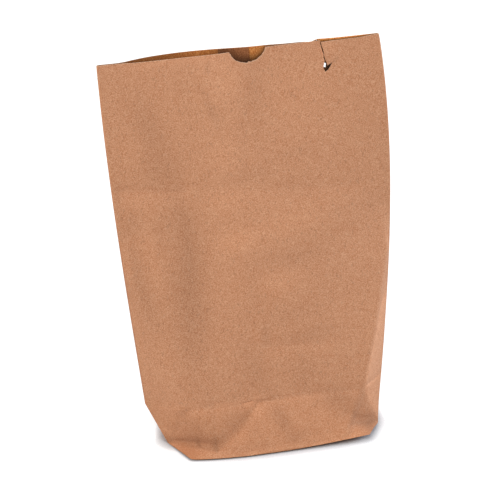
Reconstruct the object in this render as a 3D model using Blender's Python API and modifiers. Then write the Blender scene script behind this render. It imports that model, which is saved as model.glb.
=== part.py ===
"""A brown kraft paper bag with a folded hexagonal bottom, standing open and empty.

The bag is one flat paper tube, glued along its back, with no side gussets. Its
bottom is folded into a flat hexagon, whose two end tips rise when the bag is
stood open. Its front wall has a thumb notch, and a tear goes down from the mouth
near the right side. Metres, +Z up, the front towards -Y, the base on Z = 0.
"""

import math

import bmesh
import bpy
import numpy as np

# Paper
WALL = 0.0003
# Tube, lying flat
TUBE_W = 0.190
# Mouth
MOUTH_Z = 0.2863
MOUTH_DRAWN_IN = 0.0037
MOUTH_SHIFT = -0.0108
MOUTH_SLOPE = 0.0018
MOUTH_HALF_GAP = 0.0047
MOUTH_PEAK = -0.38
MOUTH_SPREAD = 0.72
# Narrow gap that is left where front and back lie together
CLOSED_HALF_GAP = 0.0008
SIDE_FOLD = 0.0012
# Sides
BOW_LEFT = 0.0022
BOW_RIGHT = 0.0071
BOW_SKEW = 1.25
BOW_ROUND = 0.8
# Base, and how far its front fold bulges forward
BASE_D = 0.0684
BASE_BULGE = 0.0064
BULGE_POWER = 0.7
# Side tips of the hexagon: how far each stands out past the end of the base
TIP_OUT_LEFT = 0.0238
TIP_OUT_RIGHT = 0.0175
TIP_Z = 0.0279
# Crease across each wall: how far it leans in over the base, how much nearer the right
# tip its right corner lies than the left corner lies to the left tip, and its crown
CREASE_LEAN = 0.0092
CORNER_UNEVEN = 0.0050
CREASE_DOME = 0.0030
# How the bulge of the walls and the ridges above the crease corners die away upwards
DEPTH_POWER = 1.9
RIDGE_END = 0.50
RIDGE_POWER = 1.2
RIDGE_TOP = 0.0060
RIDGE_TURN = 0.38
# Kinks of the tips' lower folds: past the end of the base, and behind its front corner
KINK_LEFT = (0.0111, 0.0249)
KINK_RIGHT = (0.0094, 0.0159)
# Dents of the lower front: from the corner of the base, above the base, and inwards
DENT_LEFT = (0.0181, 0.0059, 0.0025)
DENT_RIGHT = (0.0110, 0.0101, 0.0027)
# Thumb notch, an arc of this radius that goes this far below the mouth
NOTCH_R = 0.0125
NOTCH_DEPTH = 0.0092
NOTCH_SHIFT = 0.0058
# Tear, this far in from the right side fold at the mouth
TEAR_IN = 0.0386
TEAR_OVER = 0.006
# Glued lap down the back
LAP_W = 0.0200
LAP_SHIFT = -0.0028
LAP_END = 0.0004
# Outer bottom flap
FLAP_INSET = 0.0015
FLAP_REACH = 0.0120

# Follow from the sizes above, as the same paper makes all of them
BASE_L = TUBE_W - BASE_D
MOUTH_W = TUBE_W - MOUTH_DRAWN_IN
TIP_LEFT = BASE_L / 2 + TIP_OUT_LEFT
TIP_RIGHT = BASE_L / 2 + TIP_OUT_RIGHT
CORNER_LEFT = (BASE_D + CORNER_UNEVEN) / 2
CORNER_RIGHT = (BASE_D - CORNER_UNEVEN) / 2
CREASE_HALF_DEPTH = BASE_D / 2 - CREASE_LEAN
CREASE_Z = math.sqrt((BASE_D / 2) ** 2 - CREASE_LEAN**2)

# Mesh
ROWS = 24
INNER_COLUMNS = 14
RAMP_COLUMNS = 3
BASE_EDGE_STEPS = 8
NOTCH_STEPS = 48
LAP_COLUMNS = 2
PARTS = "paper_lunch_bag"

# Outline of the tear, right of its start and above the mouth: the left lip downwards,
# the hooked hole at its foot, and the right lip upwards.
TEAR_OUTLINE = (
    (-0.0004, 0.0), (-0.0001, -0.0027), (0.0008, -0.0088), (0.0012, -0.0134),
    (0.0022, -0.0175), (0.0012, -0.0206), (0.0023, -0.0233), (0.0051, -0.0221),
    (0.0073, -0.0172), (0.0056, -0.0186), (0.0039, -0.0197), (0.0029, -0.0171),
    (0.0020, -0.0133), (0.0016, -0.0087), (0.0006, -0.0027), (0.0004, 0.0),
)


def clear_scene():
    for obj in list(bpy.data.objects):
        bpy.data.objects.remove(obj, do_unlink=True)


def smooth(value):
    """0 below 0, 1 above 1, and an even S between."""
    t = np.clip(value, 0.0, 1.0)
    return t * t * (3.0 - 2.0 * t)


def bow(s):
    """Share of a side's outward bow, from the tip (s = 0) to the mouth (s = 1)."""
    return max(math.sin(math.pi * s**BOW_SKEW), 0.0) ** BOW_ROUND


def left_side(s):
    """X of the left side fold."""
    mouth = MOUTH_SHIFT - MOUTH_W / 2
    return -TIP_LEFT + (mouth + TIP_LEFT) * s - BOW_LEFT * bow(s)


def right_side(s):
    mouth = MOUTH_SHIFT + MOUTH_W / 2
    return TIP_RIGHT + (mouth - TIP_RIGHT) * s + BOW_RIGHT * bow(s)


def ridge_at(s, corner):
    """Place of a ridge across the tube. It starts at the crease corner, that far from the tip."""
    turned = min(s / RIDGE_TURN, 1.0)
    return 1.0 - (corner + (RIDGE_TOP - corner) * turned) * 2 / TUBE_W


def columns_at(s):
    """Places across the tube, -1 at the left side fold and 1 at the right one."""
    fold = 1.0 - 2.0 * SIDE_FOLD / TUBE_W
    left = ridge_at(s, CORNER_LEFT)
    right = ridge_at(s, CORNER_RIGHT)
    left_ramp = np.linspace(-fold, -left, RAMP_COLUMNS + 1)
    right_ramp = np.linspace(right, fold, RAMP_COLUMNS + 1)
    inner = np.linspace(-left, right, INNER_COLUMNS + 1)[1:-1]
    return np.concatenate([[-1.0], left_ramp, inner, right_ramp, [1.0]])


def ramp_at(across, s):
    """0 at a side fold, rising evenly to 1 at the ridge, and 1 between the ridges."""
    corner = np.where(across < 0, ridge_at(s, CORNER_LEFT), ridge_at(s, CORNER_RIGHT))
    return np.minimum((1.0 - np.abs(across)) / (1.0 - corner), 1.0)


def depth_at(across, s):
    """Distance of the wall from the middle plane of the bag."""
    ridged = CREASE_HALF_DEPTH * max(1.0 - s / RIDGE_END, 0.0) ** RIDGE_POWER
    fullest = CREASE_HALF_DEPTH + CREASE_DOME
    whole = MOUTH_HALF_GAP + (fullest - MOUTH_HALF_GAP) * (1.0 - s) ** DEPTH_POWER
    round_lens = np.cos(np.pi / 2 * across)
    off_peak = np.clip((across - MOUTH_PEAK) / MOUTH_SPREAD, -1.0, 1.0)
    mouth_lens = np.cos(np.pi / 2 * off_peak) ** 2 * np.minimum((1.0 - np.abs(across)) * 4, 1.0)
    to_mouth = smooth((s - 0.45) / 0.55)
    lens = round_lens + (mouth_lens - round_lens) * to_mouth
    apart = CLOSED_HALF_GAP * min(s / 0.1, 1.0)
    edge = np.minimum((1.0 - np.abs(across)) * TUBE_W / 2 / SIDE_FOLD, 1.0)
    return ridged * ramp_at(across, s) + (whole - ridged) * lens + apart * edge


def height_at(across, s):
    """Z of the wall: the tips and the crease below, the straight mouth above."""
    ramp = ramp_at(across, s)
    foot = TIP_Z + (CREASE_Z - TIP_Z) * ramp + CREASE_DOME * np.cos(np.pi / 2 * across) * ramp
    top = MOUTH_Z - MOUTH_SLOPE / 2 * across
    return foot + (top - foot) * s


def row(s, side, across=None):
    """Points of one wall at one height. The paper's own width sets how X is shared out."""
    places = columns_at(s)
    depth = depth_at(places, s)
    along = np.diff(places) * TUBE_W / 2
    flat = np.sqrt(np.maximum(along**2 - np.diff(depth) ** 2, (0.2 * along) ** 2))
    share = np.concatenate([[0.0], np.cumsum(flat)]) / flat.sum()
    x = left_side(s) + (right_side(s) - left_side(s)) * share
    if across is not None:
        x = np.interp(across, places, x)
        places = across
        depth = depth_at(places, s)
    return np.column_stack([x, side * depth, height_at(places, s)])


def row_heights():
    """Shares of the wall's height, closer together near the crease."""
    return np.linspace(0.0, 1.0, ROWS + 1) ** 1.25


def put(collection, name, mesh):
    obj = bpy.data.objects.new(name, mesh)
    collection.objects.link(obj)
    return obj


def mesh_of(name, points, faces):
    mesh = bpy.data.meshes.new(name)
    mesh.from_pydata([tuple(map(float, p)) for p in points], [], faces)
    mesh.validate()
    return mesh


def front_fold_y(x):
    """Y of the front long fold of the base, which bulges forward."""
    return -BASE_D / 2 - BASE_BULGE * np.maximum(1.0 - (x / (BASE_L / 2)) ** 2, 0.0) ** BULGE_POWER


def front_base_edge():
    """Points of that fold, from left to right."""
    x = np.linspace(-BASE_L / 2, BASE_L / 2, BASE_EDGE_STEPS + 1)
    return np.column_stack([x, front_fold_y(x), np.zeros_like(x)])


def kink(hand, size):
    """Where the lower fold of a tip touches the ground. The hand is -1 left, 1 right."""
    out, behind = size
    return (hand * (BASE_L / 2 + out), -BASE_D / 2 + behind, 0.0)


def dent(hand, size):
    """The deepest point of a dent in the band between the base and the crease."""
    along, up, inward = size
    x = hand * (BASE_L / 2 - along)
    foot = float(front_fold_y(x))
    return (x, foot + (-CREASE_HALF_DEPTH - foot) * up / CREASE_Z + inward, up)


def folded_sheet():
    """The bag as one open surface: both walls, the creased band below, the tips, the base."""
    bm = bmesh.new()
    heights = row_heights()
    fronts = []
    backs = []
    for s in heights:
        front = [bm.verts.new(p) for p in row(s, -1)]
        inner = [bm.verts.new(p) for p in row(s, 1)[1:-1]]
        fronts.append(front)
        backs.append([front[0], *inner, front[-1]])
    for below, above in zip(fronts[:-1], fronts[1:]):
        for i in range(len(below) - 1):
            bm.faces.new((below[i], below[i + 1], above[i + 1], above[i]))
    for below, above in zip(backs[:-1], backs[1:]):
        for i in range(len(below) - 1):
            bm.faces.new((below[i + 1], below[i], above[i], above[i + 1]))

    front = fronts[0]
    back = backs[0]
    corner = RAMP_COLUMNS + 1
    far = len(front) - 1 - corner
    middle = corner + INNER_COLUMNS // 2 - 1
    edge = [bm.verts.new(p) for p in front_base_edge()]
    kink_left = bm.verts.new(kink(-1, KINK_LEFT))
    kink_right = bm.verts.new(kink(1, KINK_RIGHT))
    dent_left = bm.verts.new(dent(-1, DENT_LEFT))
    dent_right = bm.verts.new(dent(1, DENT_RIGHT))
    back_edge = [
        bm.verts.new((x, BASE_D / 2, 0.0))
        for x in np.linspace(-BASE_L / 2, BASE_L / 2, INNER_COLUMNS + 1)
    ]
    near = 2
    away = BASE_EDGE_STEPS - 1

    # Lower front: corner triangles, then the facets that meet at each dent
    bm.faces.new((kink_left, *front[corner::-1]))
    bm.faces.new((kink_left, dent_left, front[corner]))
    bm.faces.new((dent_left, *front[middle:corner - 1:-1]))
    bm.faces.new((kink_left, edge[0], dent_left))
    bm.faces.new((*edge[: near + 1], dent_left))
    bm.faces.new((edge[near], front[middle], dent_left))
    bm.faces.new((*edge[near : away + 1], dent_right, *front[far : middle - 1 : -1]))
    bm.faces.new((*edge[away:], dent_right))
    bm.faces.new((edge[-1], kink_right, dent_right))
    bm.faces.new((dent_right, kink_right, front[far]))
    bm.faces.new((kink_right, *front[: far - 1 : -1]))

    # Lower back: a plain band and two corner triangles
    for i in range(INNER_COLUMNS):
        bm.faces.new((back_edge[i + 1], back_edge[i], back[corner + i], back[corner + i + 1]))
    bm.faces.new((back_edge[0], *back[: corner + 1]))
    bm.faces.new((back_edge[-1], *back[far:]))

    # The tips that rise at both ends, and the base
    bm.faces.new((kink_left, back[0], back_edge[0]))
    bm.faces.new((kink_right, back_edge[-1], back[-1]))
    bm.faces.new((kink_left, *back_edge, kink_right, *edge[::-1]))

    bmesh.ops.recalc_face_normals(bm, faces=bm.faces[:])
    mesh = bpy.data.meshes.new(PARTS)
    bm.to_mesh(mesh)
    bm.free()
    return mesh


def prism(name, outline, low, high, axis):
    """A closed prism: the outline (two numbers a point) swept along Y or Z."""
    bm = bmesh.new()
    if axis == "Y":
        ends = [[bm.verts.new((a, level, b)) for a, b in outline] for level in (low, high)]
    else:
        ends = [[bm.verts.new((a, b, level)) for a, b in outline] for level in (low, high)]
    count = len(outline)
    for i in range(count):
        j = (i + 1) % count
        bm.faces.new((ends[0][i], ends[0][j], ends[1][j], ends[1][i]))
    bm.faces.new(ends[0][::-1])
    bm.faces.new(ends[1])
    bmesh.ops.recalc_face_normals(bm, faces=bm.faces[:])
    mesh = bpy.data.meshes.new(name)
    bm.to_mesh(mesh)
    bm.free()
    return mesh


def notch_cutter():
    """A disc through the front wall only, sunk by the depth of the notch."""
    centre = MOUTH_Z + NOTCH_R - NOTCH_DEPTH
    middle = MOUTH_SHIFT + NOTCH_SHIFT
    turns = np.linspace(0.0, 2 * math.pi, NOTCH_STEPS, endpoint=False)
    outline = [(middle + NOTCH_R * math.cos(t), centre + NOTCH_R * math.sin(t)) for t in turns]
    return prism("notch_cutter", outline, -BASE_D, 0.0, "Y")


def tear_cutter():
    """The ragged slit and its hooked hole, through both walls."""
    start = MOUTH_SHIFT + MOUTH_W / 2 - TEAR_IN
    above = [(TEAR_OUTLINE[0][0], TEAR_OVER), (TEAR_OUTLINE[-1][0], TEAR_OVER)]
    loop = [above[0], *TEAR_OUTLINE, above[1]]
    outline = [(start + a, MOUTH_Z + b) for a, b in loop]
    return prism("tear_cutter", outline, -BASE_D, BASE_D, "Y")


def lap_strip():
    """The second layer of paper inside the back, where the tube is glued shut."""
    heights = row_heights()[1:].copy()
    heights[-1] = 1.0 - LAP_END / (MOUTH_Z - CREASE_Z)
    middle = 2.0 * LAP_SHIFT / TUBE_W
    across = np.linspace(middle - LAP_W / TUBE_W, middle + LAP_W / TUBE_W, LAP_COLUMNS + 1)
    outer = np.array([row(s, 1, across) for s in heights]) - (0.0, WALL / 2, 0.0)
    inner = outer - (0.0, WALL * 1.5, 0.0)
    rows, columns = outer.shape[:2]
    points = np.concatenate([outer.reshape(-1, 3), inner.reshape(-1, 3)])
    shift = rows * columns
    faces = []
    for r in range(rows - 1):
        for c in range(columns - 1):
            a = r * columns + c
            quad = (a, a + 1, a + 1 + columns, a + columns)
            faces.append(quad[::-1])
            faces.append(tuple(v + shift for v in quad))
    rim = list(range(columns))
    rim += [r * columns + columns - 1 for r in range(1, rows)]
    rim += [(rows - 1) * columns + c for c in range(columns - 2, -1, -1)]
    rim += [r * columns for r in range(rows - 2, 0, -1)]
    for i, a in enumerate(rim):
        b = rim[(i + 1) % len(rim)]
        faces.append((a, b, b + shift, a + shift))
    return mesh_of("back_lap", points, faces)


def flap_plate():
    """The outer bottom flap, one sheet below the base, that the bag rests on."""
    edge = front_base_edge()[1:-1] + (0.0, FLAP_INSET, 0.0)
    reach = BASE_L / 2 - FLAP_INSET
    outline = [(-reach, FLAP_REACH), (-reach, -BASE_D / 2 + FLAP_INSET)]
    outline += [(x, y) for x, y, _ in edge]
    outline += [(reach, -BASE_D / 2 + FLAP_INSET), (reach, FLAP_REACH)]
    return prism("bottom_flap", outline, -WALL, WALL / 2, "Z")


def kraft():
    """Plain brown kraft paper."""
    material = bpy.data.materials.new("brown_kraft_paper")
    material.use_nodes = True
    shader = material.node_tree.nodes["Principled BSDF"]
    shader.inputs["Base Color"].default_value = (0.52, 0.28, 0.15, 1.0)
    shader.inputs["Roughness"].default_value = 0.85
    return material


def combine(obj, other, operation):
    modifier = obj.modifiers.new(other.name, "BOOLEAN")
    modifier.operation = operation
    modifier.solver = "EXACT"
    modifier.object = other


def main():
    clear_scene()
    scene = bpy.context.scene
    parts = bpy.data.collections.new(PARTS)
    tools = bpy.data.collections.new("tools")
    scene.collection.children.link(parts)
    scene.collection.children.link(tools)
    tools.hide_render = True

    bag = put(parts, "bag", folded_sheet())
    bag.data.materials.append(kraft())
    shell = bag.modifiers.new("paper", "SOLIDIFY")
    shell.thickness = WALL
    shell.offset = -1.0
    shell.use_even_offset = True

    steps = (
        ("back_lap", lap_strip(), "UNION"),
        ("bottom_flap", flap_plate(), "UNION"),
        ("notch_cutter", notch_cutter(), "DIFFERENCE"),
        ("tear_cutter", tear_cutter(), "DIFFERENCE"),
    )
    for name, mesh, operation in steps:
        helper = put(tools, name, mesh)
        helper.hide_render = True
        helper.display_type = "WIRE"
        helper.location.z = WALL
        combine(bag, helper, operation)
    bag.location.z = WALL


main()
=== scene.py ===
"""The looks of a standing brown kraft paper bag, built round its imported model.

One glued paper tube makes the whole bag. It is flat at the mouth, where the front has
a thumb notch and a tear runs down both walls, and it opens out downwards to a bottom
that is folded into a hexagon. Metres, +Z up, the front towards -Y, the base on Z = 0.
"""

import logging
import math
from dataclasses import dataclass, field
from enum import Enum

import bmesh
import bpy
import numpy as np
from mathutils import Matrix, Vector
from mathutils.geometry import delaunay_2d_cdt


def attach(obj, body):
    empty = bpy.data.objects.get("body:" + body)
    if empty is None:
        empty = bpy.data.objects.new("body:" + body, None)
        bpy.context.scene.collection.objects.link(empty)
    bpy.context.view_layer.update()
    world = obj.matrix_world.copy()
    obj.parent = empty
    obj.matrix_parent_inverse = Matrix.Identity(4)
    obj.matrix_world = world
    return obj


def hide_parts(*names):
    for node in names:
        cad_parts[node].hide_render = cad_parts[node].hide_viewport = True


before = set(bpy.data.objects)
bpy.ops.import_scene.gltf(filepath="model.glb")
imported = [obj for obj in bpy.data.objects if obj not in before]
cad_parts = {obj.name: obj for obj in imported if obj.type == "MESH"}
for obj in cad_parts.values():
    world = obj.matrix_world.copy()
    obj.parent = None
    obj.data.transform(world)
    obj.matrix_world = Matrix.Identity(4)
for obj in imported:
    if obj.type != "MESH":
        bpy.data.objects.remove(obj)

BODY = "root"
NODE = "bag"
MM = 0.001
# Points closer than this, in metres, become one
WELD = 1e-6
# Folds sharper than this many degrees keep a sharp edge
SHARP_ANGLE = 32.0
NOTCH_SEED = 7
TEAR_SEED = 11

log = logging.getLogger("paper_bag")


class Side(Enum):
    """The two walls of the tube, by the sign of their Y."""

    FRONT = -1
    BACK = 1


def linear(colour: str) -> tuple[float, float, float, float]:
    """Turns an sRGB hex colour into linear red, green, blue and alpha.

    The sRGB curve is a straight line up to 0.04045 and a power of 2.4 above it.

    Args:
        colour: Six hex digits after a hash.

    Returns:
        The linear colour, with an alpha of 1.
    """
    shares = np.array([int(colour[i : i + 2], 16) for i in (1, 3, 5)]) / 255.0
    low = shares / 12.92
    high = ((shares + 0.055) / 1.055) ** 2.4
    red, green, blue = np.where(shares <= 0.04045, low, high)
    return float(red), float(green), float(blue), 1.0


def smooth(value: np.ndarray) -> np.ndarray:
    """Gives 0 below 0, 1 above 1, and an even S between."""
    t = np.clip(value, 0.0, 1.0)
    return t * t * (3.0 - 2.0 * t)


@dataclass(frozen=True)
class BagForm:
    """The sizes of the bag and the surface that its paper follows.

    A wall is a function of two parameters. Across runs from -1 at the left side fold
    to 1 at the right one, and rise runs from 0 at the bottom crease to 1 at the mouth.
    """

    # The sheet and the width of the flat tube
    wall: float = 0.0003
    tube_width: float = 0.190
    # The mouth: its height, ends and tilt, and where and how far its walls part
    mouth_z: float = 0.2863
    mouth_drawn_in: float = 0.0037
    mouth_shift: float = -0.0108
    mouth_slope: float = 0.0018
    mouth_half_gap: float = 0.0047
    mouth_peak: float = -0.38
    mouth_spread: float = 0.72
    mouth_ends: float = 4.0
    # The least that the walls part away from the mouth, and the rise that it takes
    closed_half_gap: float = 0.0008
    closed_by: float = 0.1
    # The width over which a side fold closes, and the bows of both side folds
    side_fold: float = 0.0012
    bow_left: float = 0.0022
    bow_right: float = 0.0071
    bow_skew: float = 1.25
    bow_round: float = 0.8
    # The base, the bulge of its front fold and its two tips
    base_depth: float = 0.0684
    base_bulge: float = 0.0064
    bulge_power: float = 0.7
    tip_out_left: float = 0.0238
    tip_out_right: float = 0.0175
    tip_z: float = 0.0279
    # The bottom crease, and how the depth above it narrows to the mouth
    crease_lean: float = 0.0092
    corner_uneven: float = 0.0050
    crease_dome: float = 0.0030
    depth_power: float = 1.9
    lens_from: float = 0.45
    # The ridges that rise from the crease's corners, and how rounded they are
    ridge_end: float = 0.50
    ridge_power: float = 1.2
    ridge_top: float = 0.0060
    ridge_turn: float = 0.38
    round_left: float = 0.45
    round_right: float = 0.08
    # The least share of its width that a step of the section keeps in X
    least_step: float = 0.2

    @property
    def base_length(self) -> float:
        """Length of the base between its corners."""
        return self.tube_width - self.base_depth

    @property
    def mouth_left(self) -> float:
        """X of the left end of the mouth."""
        return self.mouth_shift - (self.tube_width - self.mouth_drawn_in) / 2

    @property
    def mouth_right(self) -> float:
        """X of the right end of the mouth."""
        return self.mouth_shift + (self.tube_width - self.mouth_drawn_in) / 2

    @property
    def tip_left(self) -> float:
        """X of the left tip of the hexagon."""
        return -self.base_length / 2 - self.tip_out_left

    @property
    def tip_right(self) -> float:
        """X of the right tip of the hexagon."""
        return self.base_length / 2 + self.tip_out_right

    @property
    def crease_half_depth(self) -> float:
        """Distance of the bottom crease from the middle plane."""
        return self.base_depth / 2 - self.crease_lean

    @property
    def crease_z(self) -> float:
        """Height of the bottom crease at its corners."""
        return math.sqrt((self.base_depth / 2) ** 2 - self.crease_lean**2)

    def ridge(self, rise: np.ndarray, side: int) -> np.ndarray:
        """Gives the place across of the ridge that rises from a crease corner.

        It starts at the corner's own distance from the tip, and moves evenly towards
        the side fold until it is ridge_top away from it.

        Args:
            rise: Rises, from 0 to 1.
            side: -1 for the left ridge and 1 for the right one.

        Returns:
            The ridge's distance from the middle for each rise, from 0 to 1.
        """
        corner = (self.base_depth - side * self.corner_uneven) / 2
        turned = np.minimum(rise / self.ridge_turn, 1.0)
        return 1.0 - (corner + (self.ridge_top - corner) * turned) * 2 / self.tube_width

    def ramp(self, across: np.ndarray, rise: np.ndarray) -> np.ndarray:
        """Gives 0 at a side fold, an even rise to 1 at the ridge, and 1 between ridges.

        The bend at the ridge is rounded by a parabola, more at the left than the right.

        Args:
            across: Places across the tube, from -1 to 1.
            rise: Rises, from 0 to 1.

        Returns:
            The ramp's height at each place.
        """
        ridge = np.where(across < 0, self.ridge(rise, -1), self.ridge(rise, 1))
        even = (1.0 - np.abs(across)) / (1.0 - ridge)
        width = np.where(across < 0, self.round_left, self.round_right)
        over = np.clip(even - (1.0 - width), 0.0, 2.0 * width)
        return np.minimum(even, 1.0 + width) - over**2 / (4.0 * width)

    def depth(self, across: np.ndarray, rise: np.ndarray) -> np.ndarray:
        """Gives the distance of a wall from the middle plane of the bag.

        A flat-topped section, ramped at both sides, dies away above the crease. A
        cosine lens takes over from it and narrows to the gap that the mouth keeps.

        Args:
            across: Places across the tube, from -1 to 1.
            rise: Rises, from 0 to 1.

        Returns:
            The distance at each place, in metres.
        """
        half = self.crease_half_depth
        ridged = half * np.maximum(1.0 - rise / self.ridge_end, 0.0) ** self.ridge_power
        full = half + self.crease_dome - self.mouth_half_gap
        whole = self.mouth_half_gap + full * (1.0 - rise) ** self.depth_power
        lens = np.cos(np.pi / 2 * across)
        off_peak = np.clip((across - self.mouth_peak) / self.mouth_spread, -1.0, 1.0)
        ends = np.minimum((1.0 - np.abs(across)) * self.mouth_ends, 1.0)
        mouth_lens = np.cos(np.pi / 2 * off_peak) ** 2 * ends
        late = smooth((rise - self.lens_from) / (1.0 - self.lens_from))
        lens = lens + (mouth_lens - lens) * late
        apart = self.closed_half_gap * np.minimum(rise / self.closed_by, 1.0)
        edge = np.minimum((1.0 - np.abs(across)) * self.tube_width / 2 / self.side_fold, 1.0)
        return ridged * self.ramp(across, rise) + (whole - ridged) * lens + apart * edge

    def height(self, across: np.ndarray, rise: np.ndarray) -> np.ndarray:
        """Gives Z: the tips and the domed crease below, the straight mouth above.

        Args:
            across: Places across the tube, from -1 to 1.
            rise: Rises, from 0 to 1.

        Returns:
            Z at each place.
        """
        ramp = self.ramp(across, rise)
        dome = self.crease_dome * np.cos(np.pi / 2 * across)
        foot = self.tip_z + (self.crease_z - self.tip_z + dome) * ramp
        return foot + (self.mouth_z - self.mouth_slope / 2 * across - foot) * rise

    def side_x(self, rise: np.ndarray) -> tuple[np.ndarray, np.ndarray]:
        """Gives X of both side folds: straight from tip to mouth, plus a sine bow.

        Args:
            rise: Rises, from 0 to 1.

        Returns:
            X of the left fold and of the right fold for each rise.
        """
        bow = np.maximum(np.sin(np.pi * rise**self.bow_skew), 0.0) ** self.bow_round
        left = self.tip_left + (self.mouth_left - self.tip_left) * rise - self.bow_left * bow
        right = self.tip_right + (self.mouth_right - self.tip_right) * rise + self.bow_right * bow
        return left, right

    def surface(self, across: np.ndarray, rise: np.ndarray, side: Side) -> np.ndarray:
        """Works out the points of a wall.

        The paper keeps its width, so X is shared out by the width that each step of
        the section leaves once its change of depth is taken off.

        Args:
            across: Rows of places across the tube, from -1 to 1.
            rise: One column of the same number of rows, from 0 to 1.
            side: Which wall.

        Returns:
            Points by row and column.
        """
        depth = self.depth(across, rise)
        along = np.diff(across, axis=1) * self.tube_width / 2
        least = (self.least_step * along) ** 2
        flat = np.sqrt(np.maximum(along**2 - np.diff(depth, axis=1) ** 2, least))
        share = np.cumsum(flat, axis=1) / flat.sum(axis=1, keepdims=True)
        share = np.concatenate([np.zeros_like(rise), share], axis=1)
        left, right = self.side_x(rise)
        x = left + (right - left) * share
        return np.stack([x, side.value * depth, self.height(across, rise)], axis=-1)

    def base_fold(self, x: np.ndarray) -> np.ndarray:
        """Gives Y of the front long fold of the base, which bulges forward."""
        round_share = np.maximum(1.0 - (x / (self.base_length / 2)) ** 2, 0.0)
        return -self.base_depth / 2 - self.base_bulge * round_share**self.bulge_power


@dataclass(frozen=True)
class Crease:
    """A fold mark in a wall: a rounded ridge or valley along a line.

    Points are X and Z in millimetres. A positive height stands out of the wall and a
    negative one is a valley. The two sides may die away over different widths.
    """

    start: tuple[float, float]
    end: tuple[float, float]
    height: float
    above: float
    below: float
    taper: float = 0.25
    rounding: float = 0.6

    def relief(self, x: np.ndarray, z: np.ndarray) -> np.ndarray:
        """Works out an exponential on both sides of the line.

        It is rounded at the line and tapered to nothing at the line's ends.

        Args:
            x: X of the points in millimetres.
            z: Z of the points in millimetres.

        Returns:
            The height at each point, in millimetres.
        """
        sx, sz = self.start
        dx, dz = self.end[0] - sx, self.end[1] - sz
        length = math.hypot(dx, dz)
        along = ((x - sx) * dx + (z - sz) * dz) / length**2
        off = ((z - sz) * dx - (x - sx) * dz) / length
        width = np.where(off > 0, self.above, self.below)
        rounded = np.sqrt(off**2 + self.rounding**2) - self.rounding
        ends = smooth(along / self.taper) * smooth((1.0 - along) / self.taper)
        return self.height * np.exp(-rounded / width) * ends


@dataclass(frozen=True)
class Swell:
    """A soft hump or hollow in a wall, in millimetres, with an elliptical outline."""

    centre: tuple[float, float]
    height: float
    reach: tuple[float, float]
    turn: float = 0.0

    def relief(self, x: np.ndarray, z: np.ndarray) -> np.ndarray:
        """Works out a Gaussian along and across a turned axis.

        Args:
            x: X of the points in millimetres.
            z: Z of the points in millimetres.

        Returns:
            The height at each point, in millimetres.
        """
        c, s = math.cos(math.radians(self.turn)), math.sin(math.radians(self.turn))
        u = ((x - self.centre[0]) * c + (z - self.centre[1]) * s) / self.reach[0]
        v = (-(x - self.centre[0]) * s + (z - self.centre[1]) * c) / self.reach[1]
        return self.height * np.exp(-(u**2 + v**2) / 2)


def relief_of(marks: tuple[Crease | Swell, ...], x: np.ndarray, z: np.ndarray) -> np.ndarray:
    """Adds up the relief of all marks, in metres.

    Args:
        marks: Creases and swells, in millimetres.
        x: X of the points in metres.
        z: Z of the points in metres.

    Returns:
        How far each point stands out of the wall, in metres.
    """
    total = np.zeros_like(x)
    for mark in marks:
        total = total + mark.relief(x / MM, z / MM)
    return total * MM


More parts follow.
